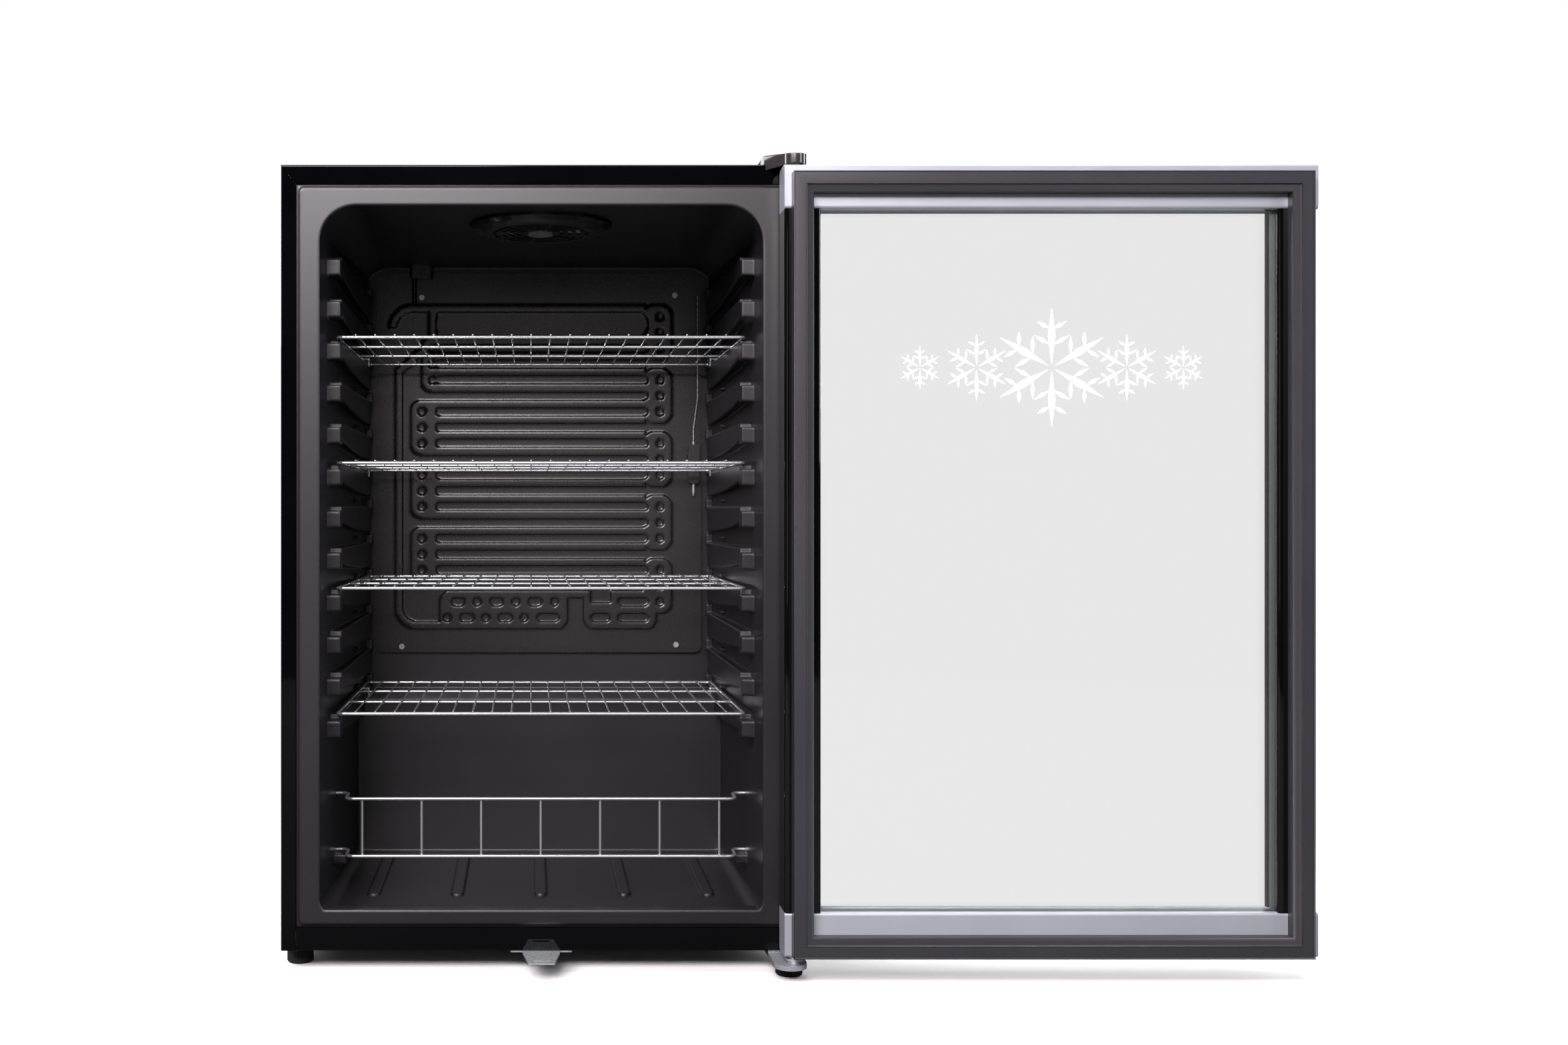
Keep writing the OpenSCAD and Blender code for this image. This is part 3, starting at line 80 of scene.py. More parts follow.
camera_data = bpy.data.cameras.new("camera")
camera_data.lens = 35.9
camera_data.sensor_width = 36
camera_data.shift_x = 0.162
camera_data.shift_y = -0.0068
camera = bpy.data.objects.new("camera", camera_data)
camera.location = VIEW_FROM
camera.rotation_euler = (math.radians(90), 0, 0)
bpy.context.collection.objects.link(camera)
bpy.context.scene.camera = camera
bpy.context.scene.view_settings.view_transform = "Standard"

# %% [markdown]
# Colours are written as the hex values a paint chart gives. The renderer works in linear
# light, so one function turns them over. A second small function adds a node to a material:
# it takes the kind of node, its settings, and what feeds each of its sockets.

# %% Two helpers for every material
def linear(hex_colour):
    channels = [int(hex_colour[i : i + 2], 16) / 255 for i in (1, 3, 5)]
    bent = [c / 12.92 if c <= 0.04045 else ((c + 0.055) / 1.055) ** 2.4 for c in channels]
    return (*bent, 1)


def add(tree, kind, sockets=None, **settings):
    made = tree.nodes.new("ShaderNode" + kind)
    for name, value in settings.items():
        setattr(made, name, value)
    for socket, value in (sockets or {}).items():
        if isinstance(value, bpy.types.NodeSocket):
            tree.links.new(value, made.inputs[socket])
        else:
            made.inputs[socket].default_value = value
    return made


print("paint chart grey #808080 is", round(linear("#808080")[0], 3), "in linear light")

# %% [markdown]
# Nearly every finish here is one main shader with three things fed into it: a colour that
# varies a little, a roughness that varies a little, and a fine bump. The grain of a finish
# has a real size, so it is given in millimetres and turned into a pattern scale once. Rolled
# and drawn metal has its grain stretched one way, and crystals or foam cells need a cell
# pattern instead of a noise. A moulded sheet has no sharp edge anywhere, so its finish can
# also round every edge as light sees it, with a radius in millimetres.

# %% A finish with grain
CLOUDS_PER_METRE = 9  # slow patches of tint, about a hand wide
FIRST_COLOUR, SECOND_COLOUR = 0.35, 0.7  # the noise values at which each of two tints is pure
SMOOTHEST = 0.02  # no real finish is a perfect mirror


def finish(name, colour, other, roughness, grain_mm, bump, spread=0.05, metallic=0.0,
           cells=False, stretch=(1, 1, 1), rounding=0.0, **more):
    material = bpy.data.materials.new(name)
    material.use_nodes = True
    tree = material.node_tree
    tree.nodes.clear()
    place = add(tree, "TexCoord").outputs["Object"]
    laid = add(tree, "Mapping", {"Vector": place, "Scale": stretch}).outputs["Vector"]
    scale = 1 / (grain_mm * MM)
    if cells:
        grain = add(tree, "TexVoronoi", {"Vector": laid, "Scale": scale}).outputs["Distance"]
        patch = add(tree, "TexVoronoi", {"Vector": laid, "Scale": scale}).outputs["Color"]
    else:
        grain = add(tree, "TexNoise", {"Vector": laid, "Scale": scale, "Detail": 4}).outputs["Fac"]
        patch = add(tree, "TexNoise", {
            "Vector": place, "Scale": CLOUDS_PER_METRE, "Detail": 3,
        }).outputs["Fac"]
    tint = add(tree, "ValToRGB", {"Fac": patch})
    tint.color_ramp.elements[0].color = linear(colour)
    tint.color_ramp.elements[1].color = linear(other)
    tint.color_ramp.elements[0].position = FIRST_COLOUR
    tint.color_ramp.elements[1].position = SECOND_COLOUR
    rough = add(tree, "MapRange", {
        "Value": grain, "From Min": 0.3, "From Max": 0.7,
        "To Min": max(SMOOTHEST, roughness - spread), "To Max": roughness + spread,
    })
    shader = add(tree, "BsdfPrincipled", {
        "Base Color": tint.outputs["Color"], "Roughness": rough.outputs["Result"],
        "Metallic": metallic, **more,
    })
    relief = add(tree, "Bump", {"Height": grain, "Strength": 1.0, "Distance": bump * MM})
    if rounding:
        turned = add(tree, "Bevel", {"Radius": rounding * MM}, samples=8)
        tree.links.new(turned.outputs["Normal"], relief.inputs["Normal"])
    tree.links.new(relief.outputs["Normal"], shader.inputs["Normal"])
    add(tree, "OutputMaterial", {"Surface": shader.outputs["BSDF"]})
    print(name, "grain", grain_mm, "mm, roughness", roughness)
    return material


# %% [markdown]
# The cabinet is sheet steel. Gloss stoving enamel levels out as it bakes, so it mirrors
# sharply and shows only the room. The rear sheet is painted thinner and duller. Hidden sheets
# stay galvanised, with zinc crystals as large as a thumbnail.

# %% Painted and plated steel
# gloss stoving enamel: sprayed and baked, black and mirror smooth
enamel = finish("gloss_black_enamel", "#030304", "#050506", 0.035, 2.5, 0.0006, 0.01,
                **{"Specular IOR Level": 0.2})
# satin enamel: one thin coat on the rear sheet, slightly pebbled
rear_paint = finish("satin_grey_enamel", "#2b2c2e", "#333436", 0.42, 1.2, 0.01)
# hot-dip galvanised sheet: grey spangle, each crystal a little lighter or darker
galvanised = finish("galvanised_sheet", "#84888c", "#a9adb1", 0.4, 13, 0.004, 0.12, 1, cells=True)
# bright zinc plate: on screws and brackets, a cool silver with faint clouds
zinc = finish("zinc_plated_steel", "#a9adb2", "#bcc0c4", 0.3, 3.0, 0.003, 0.08, 0.6)
# chrome plate on drawn wire: mirrors dark and light side by side, almost no grain
chrome = finish("chrome_plated_wire", "#c0c2c5", "#cccdd0", 0.12, 4.0, 0.001, 0.03, 0.8)
# stoved paint on the compressor shell: thick, black, a little wavy
compressor_paint = finish("black_stoved_paint", "#0c0c0d", "#121213", 0.3, 1.2, 0.02)
# copper tube: drawn through a die, warm and slightly dulled by handling
copper = finish("drawn_copper_tube", "#8d5636", "#a86a44", 0.33, 2.0, 0.006, 0.08, 1.0)
# lacquered tube: the same tube dipped in black where it passes through the store
black_tube = finish("black_lacquered_tube", "#0d0d0e", "#161617", 0.3, 1.5, 0.006)

# %% [markdown]
# The door is made of aluminium strips. Satin silver is brushed along the strip and then
# anodised, the black ones are painted gloss, and the spacer between the panes is left as it
# came from the mill.

# %% Aluminium
# satin anodised strip: pale silver, fine lines along its length
rail_metal = finish("satin_silver_aluminium", "#a3a6ae", "#abaeb6", 0.42, 0.5, 0.002, 0.05, 0.45,
                    stretch=(0.03, 1, 1))
# gloss painted strip: black, with a bright line wherever an edge turns
stile_paint = finish("gloss_black_aluminium", "#050506", "#08080a", 0.05, 2.0, 0.0006, 0.01)
# mill-finish spacer: dark from the drying beads and the shade between the panes
spacer_metal = finish("mill_aluminium", "#3d4341", "#474e4c", 0.4, 0.5, 0.004, 0.05, 0.8)
# satin lacquer on the cooling plate: near black, soft sheen on every raised channel
evaporator_paint = finish("satin_black_lacquer", "#1e1c1d", "#252324", 0.27, 0.9, 0.003)

# %% [markdown]
# Plastics differ mostly in gloss. A thermoformed sheet keeps a soft sheen, an injection
# moulding copies its polished mould, and flexible vinyl and rubber scatter nearly all light.

# %% Plastics, rubber and foam
# thermoformed polystyrene: charcoal with a faint warm violet cast and a soft sheen
liner_plastic = finish("thermoformed_polystyrene", "#161418", "#1b191d", 0.37, 0.8, 0.006,
                       rounding=4)
# gloss moulding: the ceiling dome, black, edges pick up thin bright lines
gloss_plastic = finish("gloss_black_abs", "#0b0b0c", "#101011", 0.14, 0.6, 0.002, 0.04)
# plain moulding: covers and clips, black, lightly textured by the mould
black_plastic = finish("moulded_black_abs", "#111112", "#161618", 0.38, 0.6, 0.008)
# hinge cover: dark warm grey, polished
cover_plastic = finish("dark_grey_abs", "#2a2829", "#302d2f", 0.16, 0.8, 0.001, 0.03)
# dial: mid grey moulding
knob_plastic = finish("grey_abs", "#7c7d80", "#87888b", 0.4, 0.6, 0.006)
# lamp board: white solder mask
white_board = finish("white_circuit_board", "#dcdcd6", "#e6e6e0", 0.5, 0.5, 0.004)
# flexible vinyl: extruded seal, dark grey, soft sheen along its ridges
vinyl = finish("soft_grey_vinyl", "#26262b", "#2b2b30", 0.4, 0.9, 0.006)
# moulded rubber: feet and grommets, matt, dusty black
rubber = finish("moulded_rubber", "#141414", "#1b1b1b", 0.7, 0.7, 0.02)
# ferrite strip: the magnet in the seal, matt brown-black
magnet = finish("ferrite_strip", "#1a1614", "#221d1a", 0.7, 0.6, 0.02)
# nylon: hinge bushes, milky white
nylon = finish("white_nylon", "#d6d5ce", "#e2e1da", 0.4, 0.8, 0.006, **{"Subsurface Weight": 0.1})
# polyurethane foam: poured between the skins, buff with small cells
foam = finish("rigid_polyurethane_foam", "#c9ba86", "#dccf9f", 0.85, 1.2, 0.2, cells=True)
# pad-printed ink: the figure on the dial
ink = finish("white_ink", "#e6e6e6", "#eeeeee", 0.5, 0.5, 0.002)

# %% [markdown]
# Float glass is clear and perfectly smooth. Light bends through it for the eye, but lamps
# must also shine through it, so shadow rays see a plain clear film instead. The frosted
# print on the pane is fired-on ceramic: white, and lit through by whatever is behind it. A
# faint glow of its own stands in for that light.

# %% Glass and its print
glass = bpy.data.materials.new("float_glass")
glass.use_nodes = True
tree = glass.node_tree
tree.nodes.clear()
place = add(tree, "TexCoord").outputs["Object"]
body = add(tree, "BsdfPrincipled", {
    "Base Color": linear("#f5f5f5"), "Roughness": 0.0, "IOR": 1.5, "Transmission Weight": 1.0,
})
# a float line leaves waves a hand wide and thousandths of a millimetre high
ripple = add(tree, "TexNoise", {"Vector": place, "Scale": 6, "Detail": 1})
roll = add(tree, "Bump", {
    "Height": ripple.outputs["Fac"], "Strength": 1.0, "Distance": 0.002 * MM,
})
tree.links.new(roll.outputs["Normal"], body.inputs["Normal"])
clear = add(tree, "BsdfTransparent", {"Color": linear("#f2f2f2")})
path = add(tree, "LightPath")
both = add(tree, "MixShader", {
    0: path.outputs["Is Shadow Ray"], 1: body.outputs["BSDF"], 2: clear.outputs["BSDF"],
})
add(tree, "OutputMaterial", {"Surface": both.outputs["Shader"]})
frit = finish("ceramic_frit", "#f2f2f4", "#f6f6f8", 0.6, 0.4, 0.002,
              **{"Emission Color": linear("#f6f6f9"), "Emission Strength": 0.3})

# %% [markdown]
# Every measured piece gets the finish of the thing it is. The list runs by finish and not by
# piece, because a change of finish then changes every piece of that kind at once.

# %% Who wears what
WEARS = {
    enamel: ["left_side_panel", "right_side_panel", "top_panel", "front_crossbar"],
    rear_paint: ["rear_panel"],
    galvanised: ["bottom_plate", "compressor_bay_panel", "compressor_base_plate"],
    foam: ["foam_insulation"],
    liner_plastic: ["inner_liner"],
    evaporator_paint: ["evaporator_plate", "suction_sleeve"],
    zinc: [
        "evaporator_screws", "top_hinge_bracket", "top_hinge_pin", "hinge_screws",
        "bottom_hinge_bracket", "bottom_hinge_pin", "hinge_washers", "lock_keeper",
        "compressor_bolts", "sensor_bulb",
    ],
    copper: ["discharge_tube", "condenser_coils", "filter_dryer"],
    black_tube: ["suction_tube"],
    gloss_plastic: ["thermostat_housing"],
    black_plastic: [
        "sensor_clip", "hinge_blank_cap", "cord_gland", "relay_cover", "evaporation_tray",
        "drain_tube", "thermostat_control",
    ],
    white_board: ["lamp_board"],
    knob_plastic: ["thermostat_knob"],
    chrome: ["bottle_guard", "shelf_1", "shelf_2", "shelf_3", "shelf_4",
             "lock_housing", "lock_barrel"],
    cover_plastic: ["top_hinge_cover"],
    rubber: ["left_foot", "right_foot", "rear_feet", "compressor_grommets"],
    compressor_paint: ["compressor", "panel_screws"],
    rail_metal: ["door_top_rail", "door_bottom_rail"],
    stile_paint: ["door_hinge_stile", "door_handle_stile"],
    glass: ["outer_glass", "inner_glass"],
    spacer_metal: ["glass_spacer"],
    vinyl: ["door_gasket"],
    magnet: ["gasket_magnets"],
    nylon: ["hinge_bushes"],
}
for material, names in WEARS.items():
    for name in names:
        data = nodes[name].data
        data.materials.clear()
        data.materials.append(material)
plain = set(nodes) - {name for names in WEARS.values() for name in names}
print(len(WEARS), "finishes; nodes with no finish yet:", sorted(plain))

# %% [markdown]
# The cooling plate is two aluminium sheets bonded together and blown apart with air along a
# printed pattern, so its channels are soft pillows. The measured plate has the same pattern
# with square edges. It could be rounded edge by edge, but hundreds of short edges meet there.
# A fine grid is pressed onto it like foil instead, and the foil is then smoothed in depth
# only, which rounds every channel and keeps the outline.

# %% Helpers for modelling by hand
def only(piece):
    bpy.ops.object.select_all(action="DESELECT")
    piece.select_set(True)
    bpy.context.view_layer.objects.active = piece


def apply(piece, kind, **settings):
    only(piece)
    made = piece.modifiers.new(kind.lower(), kind)
    for name, value in settings.items():
        setattr(made, name, value)
    bpy.ops.object.modifier_apply(modifier=made.name)


def settle(piece):
    only(piece)
    bpy.ops.object.transform_apply(location=True, rotation=True, scale=True)


def rest_on(piece, body, material, *stands_for):
    piece.data.materials.clear()
    piece.data.materials.append(material)
    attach(piece, body)
    if stands_for:
        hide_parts(*stands_for)
    print(piece.name, "has", len(piece.data.polygons), "faces")


# %% Foil: a fine grid in front of the plate
FOIL_CELL = 1.55 * MM
FOIL_GAP = 5 * MM  # how far in front of the plate the grid starts
low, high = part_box("evaporator_plate")
wide, tall = high.x - low.x, high.z - low.z
bpy.ops.mesh.primitive_grid_add(
    x_subdivisions=round(wide / FOIL_CELL),
    y_subdivisions=round(tall / FOIL_CELL),
    size=1,
    location=((low.x + high.x) / 2, low.y - FOIL_GAP, (low.z + high.z) / 2),
    rotation=(math.radians(90), 0, 0),
)
foil = bpy.context.object
foil.name = "evaporator_foil"
foil.scale = (wide, tall, 1)
settle(foil)
print("foil grid of", len(foil.data.polygons), "cells,", round(wide / MM), "by", round(tall / MM), "mm")

# %% Foil: round corners
PLATE_CORNER = 9 * MM
for v in foil.data.vertices:
    # vertices outside a corner's arc are drawn in onto it
    cx = min(max(v.co.x, low.x + PLATE_CORNER), high.x - PLATE_CORNER)
    cz = min(max(v.co.z, low.z + PLATE_CORNER), high.z - PLATE_CORNER)
    dx, dz = v.co.x - cx, v.co.z - cz
    reach = math.hypot(dx, dz)
    if dx and dz and reach > PLATE_CORNER:
        v.co.x, v.co.z = cx + dx * PLATE_CORNER / reach, cz + dz * PLATE_CORNER / reach
print("corners rounded to", round(PLATE_CORNER / MM), "mm")

# %% Foil: pressed on and smoothed
PLATE_THICK = 1.6 * MM
MISSED = 1 * MM  # a point this far in front of the highest channel has met no plate
face_y = high.y - PLATE_THICK
apply(
    foil,
    "SHRINKWRAP",
    target=nodes["evaporator_plate"],
    wrap_method="PROJECT",
    use_project_y=True,
    use_negative_direction=True,
    use_positive_direction=True,
)
for v in foil.data.vertices:
    # over the screw holes and on the very edge the foil finds no plate behind it
    if v.co.y < low.y - MISSED or v.co.y > face_y:
        v.co.y = face_y
apply(foil, "SMOOTH", factor=0.5, iterations=2, use_x=False, use_z=False)
print("foil stands", round((face_y - min(v.co.y for v in foil.data.vertices)) / MM, 2), "mm proud")

# %% Foil: sides and back
only(foil)
bpy.ops.object.mode_set(mode="EDIT")
bpy.ops.mesh.select_all(action="DESELECT")
bpy.ops.mesh.select_mode(type="EDGE")
bpy.ops.mesh.select_non_manifold(extend=False, use_wire=False, use_multi_face=False,
                                 use_non_contiguous=False, use_verts=False)
bpy.ops.mesh.extrude_region_move(TRANSFORM_OT_translate={"value": (0, PLATE_THICK, 0)})
bpy.ops.mesh.edge_face_add()
bpy.ops.mesh.select_all(action="SELECT")
bpy.ops.mesh.normals_make_consistent(inside=False)
bpy.ops.object.mode_set(mode="OBJECT")
bpy.ops.object.shade_smooth_by_angle(angle=math.radians(40))
rest_on(foil, "cabinet", evaporator_paint, "evaporator_plate")

# %% [markdown]
# The hinge cover is a small polished moulding. A copy of the measured cover has its sharp
# edges rounded by under a millimetre, so they catch the narrow bright lines that sharp edges
# miss. Weighted normals keep its flat sides flat.

# %% Helpers for rounding a copy of a measured piece
WELD = 0.02 * MM  # corners of loose triangles closer than this are one corner


def copy_of(name, new_name):
    only(nodes[name])
    bpy.ops.object.duplicate()
    made = bpy.context.object
    made.name = new_name
    made.parent = None
    # the copy is a new piece, so the marks of the measured one come off it
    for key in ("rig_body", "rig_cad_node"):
        del made[key]
    bpy.ops.object.mode_set(mode="EDIT")
    bpy.ops.mesh.select_all(action="SELECT")
    bpy.ops.mesh.remove_doubles(threshold=WELD)
    bpy.ops.mesh.dissolve_limited(angle_limit=math.radians(0.5))
    bpy.ops.object.mode_set(mode="OBJECT")
    return made


def bevel_sharp(piece, width, segments, sharp):
    """Rounds every edge that turns by more than sharp degrees."""
    only(piece)
    bpy.ops.object.mode_set(mode="EDIT")
    bpy.ops.mesh.select_mode(type="EDGE")
    bpy.ops.mesh.select_all(action="DESELECT")
    bpy.ops.mesh.edges_select_sharp(sharpness=math.radians(sharp))
    bpy.ops.mesh.bevel(offset=width * MM, segments=segments, affect="EDGES")
    bpy.ops.object.mode_set(mode="OBJECT")


def soften(piece, sharp):
    """Shades edges below sharp degrees smooth, and keeps flat faces flat."""
    only(piece)
    bpy.ops.object.shade_smooth_by_angle(angle=math.radians(sharp))
    apply(piece, "WEIGHTED_NORMAL", keep_sharp=True, weight=100)


# %% Hinge cover
cover = copy_of("top_hinge_cover", "polished_hinge_cover")
bevel_sharp(cover, 0.7, 3, 50)
soften(cover, 35)
rest_on(cover, "cabinet", cover_plastic, "top_hinge_cover")

# %% [markdown]
# The door's seal is one extruded vinyl section, cut at 45 degrees and welded into a frame.
# In Blender a flat rectangle does it: each inset makes the next ring of the section, with
# the mitre already in its corners, and the ring is pushed up or down to its height. The
# middle is deleted at the end and the two open loops are bridged behind.

# %% Seal: its section and its rectangle
SEAL_DROP = 2.5 * MM  # the top edge sits this much lower than the measured one
SECTION = [  # from the outer edge inwards: (distance in mm, depth behind the seal plane in mm)
    (0.0, 0.9), (0.4, 0.2), (0.8, 0.0), (1.3, 0.2), (1.7, 0.9), (7.0, 0.7), (12.2, 0.9),
    (12.5, 0.4), (13.0, 0.4), (13.4, 1.9), (14.2, 2.6), (17.5, 3.6), (20.2, 4.8), (20.9, 6.0),
]
low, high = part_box("door_gasket")
top = high.z - SEAL_DROP
bpy.ops.mesh.primitive_plane_add(
    size=1,
    location=((low.x + high.x) / 2, high.y, (low.z + top) / 2),
    rotation=(math.radians(90), 0, 0),
)
seal = bpy.context.object
seal.name = "seal_frame"
seal.scale = (high.x - low.x, top - low.z, 1)
settle(seal)
print("seal of", len(SECTION), "rings,", round((high.x - low.x) / MM), "mm wide")

# %% Seal: one inset for each ring
bpy.ops.object.mode_set(mode="EDIT")
bpy.ops.mesh.select_mode(type="FACE")
bpy.ops.mesh.select_all(action="SELECT")
at, depth = 0.0, (high.y - low.y) / MM
bpy.ops.mesh.extrude_region_move(
    TRANSFORM_OT_translate={"value": (0, -(depth - SECTION[0][1]) * MM, 0)}
)
depth = SECTION[0][1]
for distance, deep in SECTION[1:]:
    bpy.ops.mesh.inset(thickness=(distance - at) * MM, depth=(depth - deep) * MM)
    at, depth = distance, deep
print("rings reach", at, "mm inwards")

# %% Seal: the middle opened and the back bridged
SAME_PLANE = 0.1 * MM
bpy.ops.mesh.extrude_region_move(
    TRANSFORM_OT_translate={"value": (0, high.y - low.y - depth * MM, 0)}
)
bpy.ops.mesh.delete(type="FACE")
mesh = bmesh.from_edit_mesh(seal.data)
for face in mesh.faces:
    # the rectangle that the first extrusion left behind
    face.select = all(abs(v.co.y - high.y) < SAME_PLANE for v in face.verts)
bmesh.update_edit_mesh(seal.data)
bpy.ops.mesh.delete(type="ONLY_FACE")
bpy.ops.mesh.select_mode(type="EDGE")
bpy.ops.mesh.select_non_manifold(extend=False)
bpy.ops.mesh.bridge_edge_loops()
bpy.ops.mesh.select_all(action="SELECT")
bpy.ops.mesh.normals_make_consistent(inside=False)
bpy.ops.object.mode_set(mode="OBJECT")
soften(seal, 50)
rest_on(seal, "door", vinyl, "door_gasket")

# %% [markdown]
# The pane carries a printed motif. It is a row of snow crystals here, each one six long and
# twenty-four short slivers round a centre. One sliver is a circle of four corners, stretched;
# the crystal is drawn once, given its thickness, and copied five times at three sizes.

# %% Crystal: one sliver
def sliver(length, width, start, angle, centre=(0.0, 0.0)):
    """A flat rhombus that starts a little way out from centre; sizes in mm, angle in degrees."""
    turn = math.radians(angle)
    away = start + length / 2
    bpy.ops.mesh.primitive_circle_add(
        vertices=4,
        radius=0.5,
        fill_type="NGON",
        location=(
            (centre[0] + math.cos(turn) * away) * MM, 0, (centre[1] + math.sin(turn) * away) * MM,
        ),
        rotation=(math.radians(90), -turn, 0),
    )
    made = bpy.context.object
    made.scale = (length * MM, width * MM, 1)
    return made


# %% Crystal: six arms
ARM, ARM_WIDTH, ARM_START = 46, 6, 3
TWIGS = ((18, 15), (31, 12))  # (how far out on the arm, length)
TWIG_WIDTH, TWIG_START, TWIG_LEAN = 3.4, 1.8, 60

parts = []
for arm in range(6):
    angle = 60 * arm + 30
    parts.append(sliver(ARM, ARM_WIDTH, ARM_START, angle))
    for out, length in TWIGS:
        stem = (math.cos(math.radians(angle)) * out, math.sin(math.radians(angle)) * out)
        for lean in (-TWIG_LEAN, TWIG_LEAN):
            parts.append(sliver(length, TWIG_WIDTH, TWIG_START, angle + lean, stem))
print("one crystal has", len(parts), "slivers")

# %% Crystal: joined and given its thickness
PRINT_THICK = 0.08 * MM
bpy.ops.object.select_all(action="DESELECT")
for part in parts:
    part.select_set(True)
bpy.context.view_layer.objects.active = parts[0]
bpy.ops.object.join()
crystal = bpy.context.object
crystal.name = "snow_crystal"
settle(crystal)
bpy.ops.object.mode_set(mode="EDIT")
bpy.ops.mesh.select_all(action="SELECT")
bpy.ops.mesh.extrude_region_move(TRANSFORM_OT_translate={"value": (0, -PRINT_THICK, 0)})
bpy.ops.mesh.select_all(action="SELECT")
bpy.ops.mesh.normals_make_consistent(inside=False)
bpy.ops.object.mode_set(mode="OBJECT")

# %% A row of five on the pane
ROW = [(130, 0.46), (188, 0.7), (265, 1.25), (342, 0.7), (400, 0.46)]  # (mm from the hinge, size)
ROW_HEIGHT = 626 * MM
PRINT_GAP = 0.02 * MM  # keeps the print's back from sharing the pane's surface
low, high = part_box("outer_glass")
for number, (from_hinge, size) in enumerate(ROW, start=1):
    only(crystal)
    bpy.ops.object.duplicate()
    one = bpy.context.object
    one.name = f"printed_crystal_{number}"
    one.location = (from_hinge * MM, low.y - PRINT_GAP, ROW_HEIGHT)
    one.scale = (size, 1, size)
    settle(one)
    rest_on(one, "door", frit)
bpy.data.objects.remove(crystal)

# %% [markdown]
# The dial's figure is pad-printed on its rim. It is a text curve turned into a mesh, stood
# upright and sunk a little into the rim, so that no gap shows on the curve.

# %% Figure on the dial
FIGURE_SINK = 0.05 * MM
FIGURE_LIFT = 0.8 * MM
low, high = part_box("thermostat_knob")
bpy.ops.object.text_add(
    location=((low.x + high.x) / 2, low.y - FIGURE_SINK, low.z + FIGURE_LIFT),
    rotation=(math.radians(90), 0, 0),
)
figure = bpy.context.object
figure.name = "dial_figure"
figure.data.body = "4"
figure.data.size = 6 * MM
figure.data.extrude = 0.2 * MM
figure.data.align_x = "CENTER"
bpy.ops.object.convert(target="MESH")
settle(figure)
rest_on(figure, "thermostat_knob", ink)

# %% [markdown]
# The room is a studio cove: a pale floor that fades into white far away. The floor is white
# to the eye, but it and the walls are kept dim for reflections, so that black gloss stays
# black. A floor of one plain colour would be simpler, but it turns every black panel grey.

# %% Floor
FLOOR_RADIUS = 3.2
FADE_FROM, FADE_TO = 0.55, 1.1  # metres from the hinge at which the floor turns to plain white
bpy.ops.mesh.primitive_circle_add(vertices=96, radius=FLOOR_RADIUS, fill_type="NGON", location=(0, 0, 0))
floor = bpy.context.object
floor.name = "floor"
pale = bpy.data.materials.new("pale_floor")
pale.use_nodes = True
tree = pale.node_tree
tree.nodes.clear()
place = add(tree, "TexCoord").outputs["Object"]
far = add(tree, "VectorMath", {0: place}, operation="LENGTH")
away = add(tree, "MapRange", {
    "Value": far.outputs["Value"], "From Min": FADE_FROM, "From Max": FADE_TO,
}, interpolation_type="SMOOTHSTEP")
path = add(tree, "LightPath")
seen = add(tree, "Math", {
    0: path.outputs["Is Camera Ray"], 1: path.outputs["Is Transmission Ray"],
}, operation="MAXIMUM")
paint = add(tree, "BsdfDiffuse", {"Color": linear("#f4f4f4")})
glow = add(tree, "Emission", {"Color": (1, 1, 1, 1), "Strength": 1.0})
flat = add(tree, "Math", {0: away.outputs["Result"], 1: path.outputs["Is Transmission Ray"]},
           operation="MAXIMUM")
ground = add(tree, "MixShader", {
    0: flat.outputs["Value"], 1: paint.outputs["BSDF"], 2: glow.outputs["Emission"],
})
dull = add(tree, "BsdfDiffuse", {"Color": linear("#5c5c5c")})
both = add(tree, "MixShader", {
    0: seen.outputs["Value"], 1: dull.outputs["BSDF"], 2: ground.outputs["Shader"],
})
add(tree, "OutputMaterial", {"Surface": both.outputs["Shader"]})
floor.data.materials.append(pale)
print("floor fades out between", FADE_FROM, "and", FADE_TO, "m")

# %% [markdown]
# The walls are seen as white, too. What they give to reflections is a weak light that is
# darker in front of the fridge than behind it, as in a studio with black curtains.

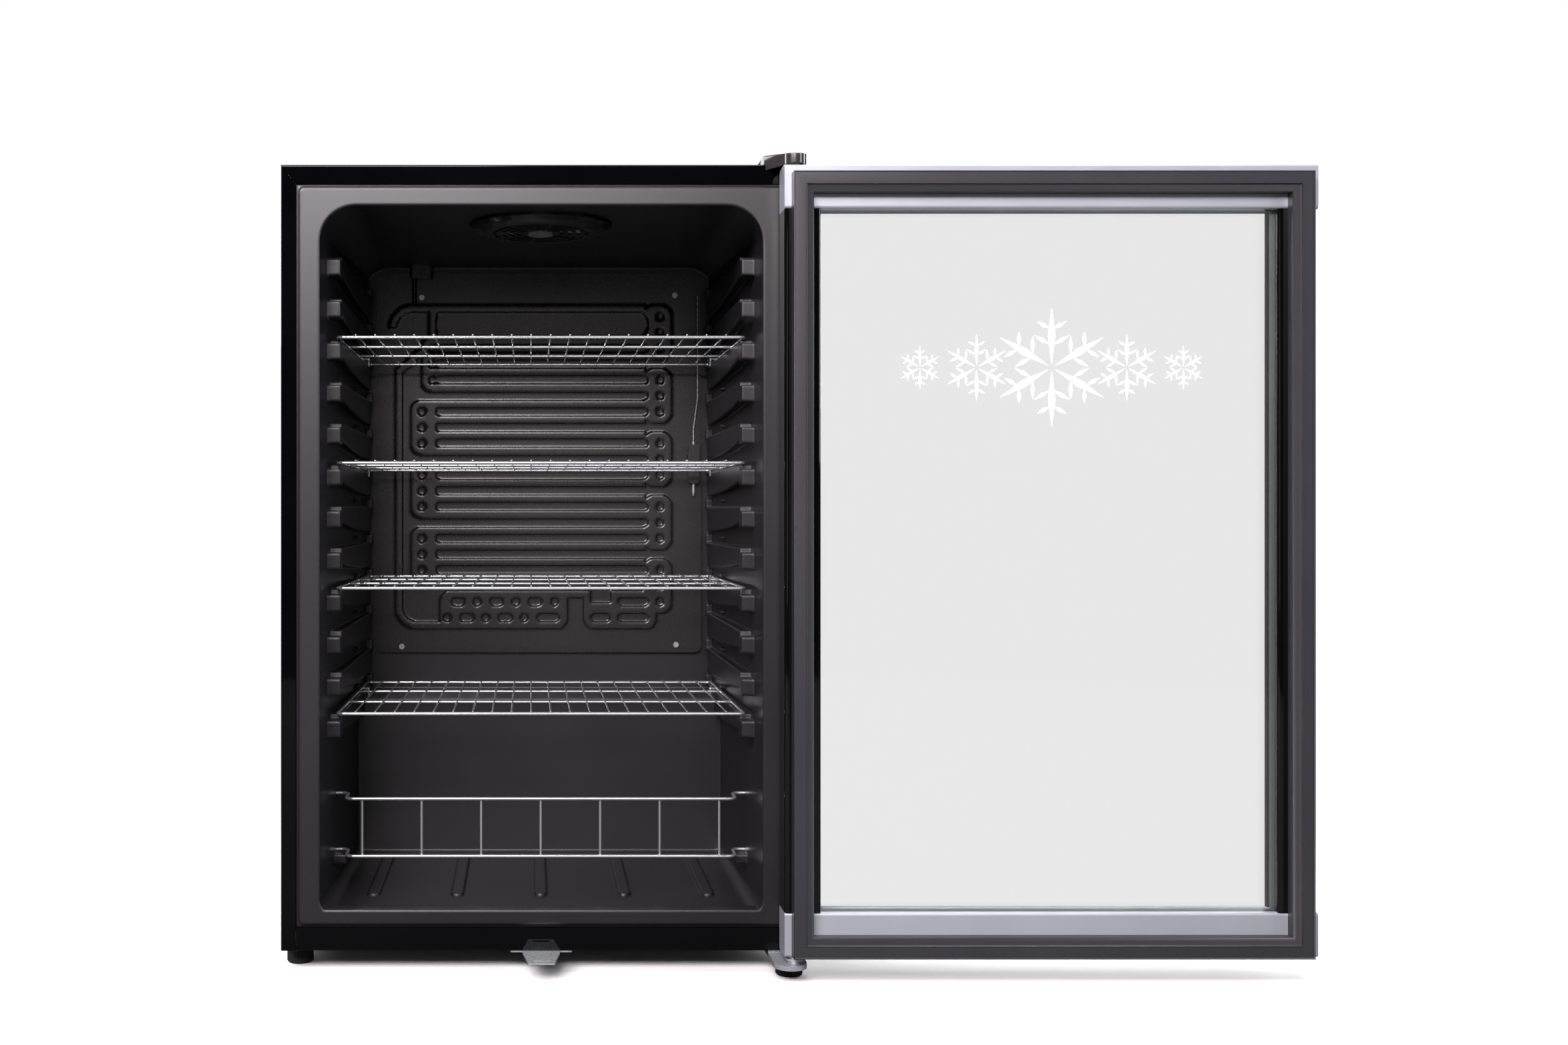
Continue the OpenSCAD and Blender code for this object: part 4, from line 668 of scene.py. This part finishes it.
# %% Surroundings
CURTAINS, WALLS = 0.015, 0.12  # strengths in front and behind
world = bpy.data.worlds.new("studio")
world.use_nodes = True
bpy.context.scene.world = world
tree = world.node_tree
tree.nodes.clear()
path = add(tree, "LightPath")
seen = add(tree, "Math", {
    0: path.outputs["Is Camera Ray"], 1: path.outputs["Is Transmission Ray"],
}, operation="MAXIMUM")
facing = add(tree, "SeparateXYZ", {"Vector": add(tree, "TexCoord").outputs["Generated"]})
dusk = add(tree, "MapRange", {
    "Value": facing.outputs["Y"], "From Min": -0.8, "From Max": 0.3,
    "To Min": CURTAINS, "To Max": WALLS,
})
room = add(tree, "Background", {"Color": linear("#e6e4ec"), "Strength": dusk.outputs["Result"]})
white = add(tree, "Background", {"Color": (1, 1, 1, 1), "Strength": 1.0})
sky = add(tree, "MixShader", {
    0: seen.outputs["Value"], 1: room.outputs["Background"], 2: white.outputs["Background"],
})
add(tree, "OutputWorld", {"Surface": sky.outputs["Shader"]})
print("walls at", WALLS, "and curtains at", CURTAINS)

# %% [markdown]
# A large lamp high on the left is the key. One above the camera reaches into the cabinet, a
# faint one level with it keeps the far corners from going black, and soft ones at the side,
# top and back open the shadows. Area lamps are used, because small ones make hard spots.

# %% Lamps
def lamp(name, place, aim, size, power, colour="#ffffff"):
    data = bpy.data.lights.new(name, "AREA")
    data.shape = "RECTANGLE"
    data.size, data.size_y = size
    data.energy = power
    data.color = linear(colour)[:3]
    made = bpy.data.objects.new(name, data)
    made.location = place
    made.rotation_euler = (Vector(aim) - Vector(place)).to_track_quat("-Z", "Y").to_euler()
    bpy.context.collection.objects.link(made)
    print(name, "lamp,", power, "W")


MIDDLE = (0, 0, 0.45)  # of the open fridge
INSIDE = (-0.258, 0.1, 0.45)  # of the store
lamp("key", (-1.5, -3.0, 2.3), MIDDLE, (2.4, 1.2), 250, "#fff9fc")
lamp("front", (-0.25, -3.3, 1.9), INSIDE, (1.3, 0.5), 34, "#fff8f7")
lamp("level", (-0.25, -3.3, 0.75), INSIDE, (1.1, 1.1), 3.4, "#fff8f7")
lamp("side", (3.2, -1.6, 1.6), MIDDLE, (1.4, 2.0), 60, "#f6f8ff")
lamp("top", (0, 0.2, 3.2), MIDDLE, (3.2, 2.4), 110)
lamp("back_left", (-2.6, 2.6, 1.8), MIDDLE, (1.6, 1.6), 45)
lamp("back_right", (2.6, 2.4, 1.6), MIDDLE, (1.6, 1.6), 45)
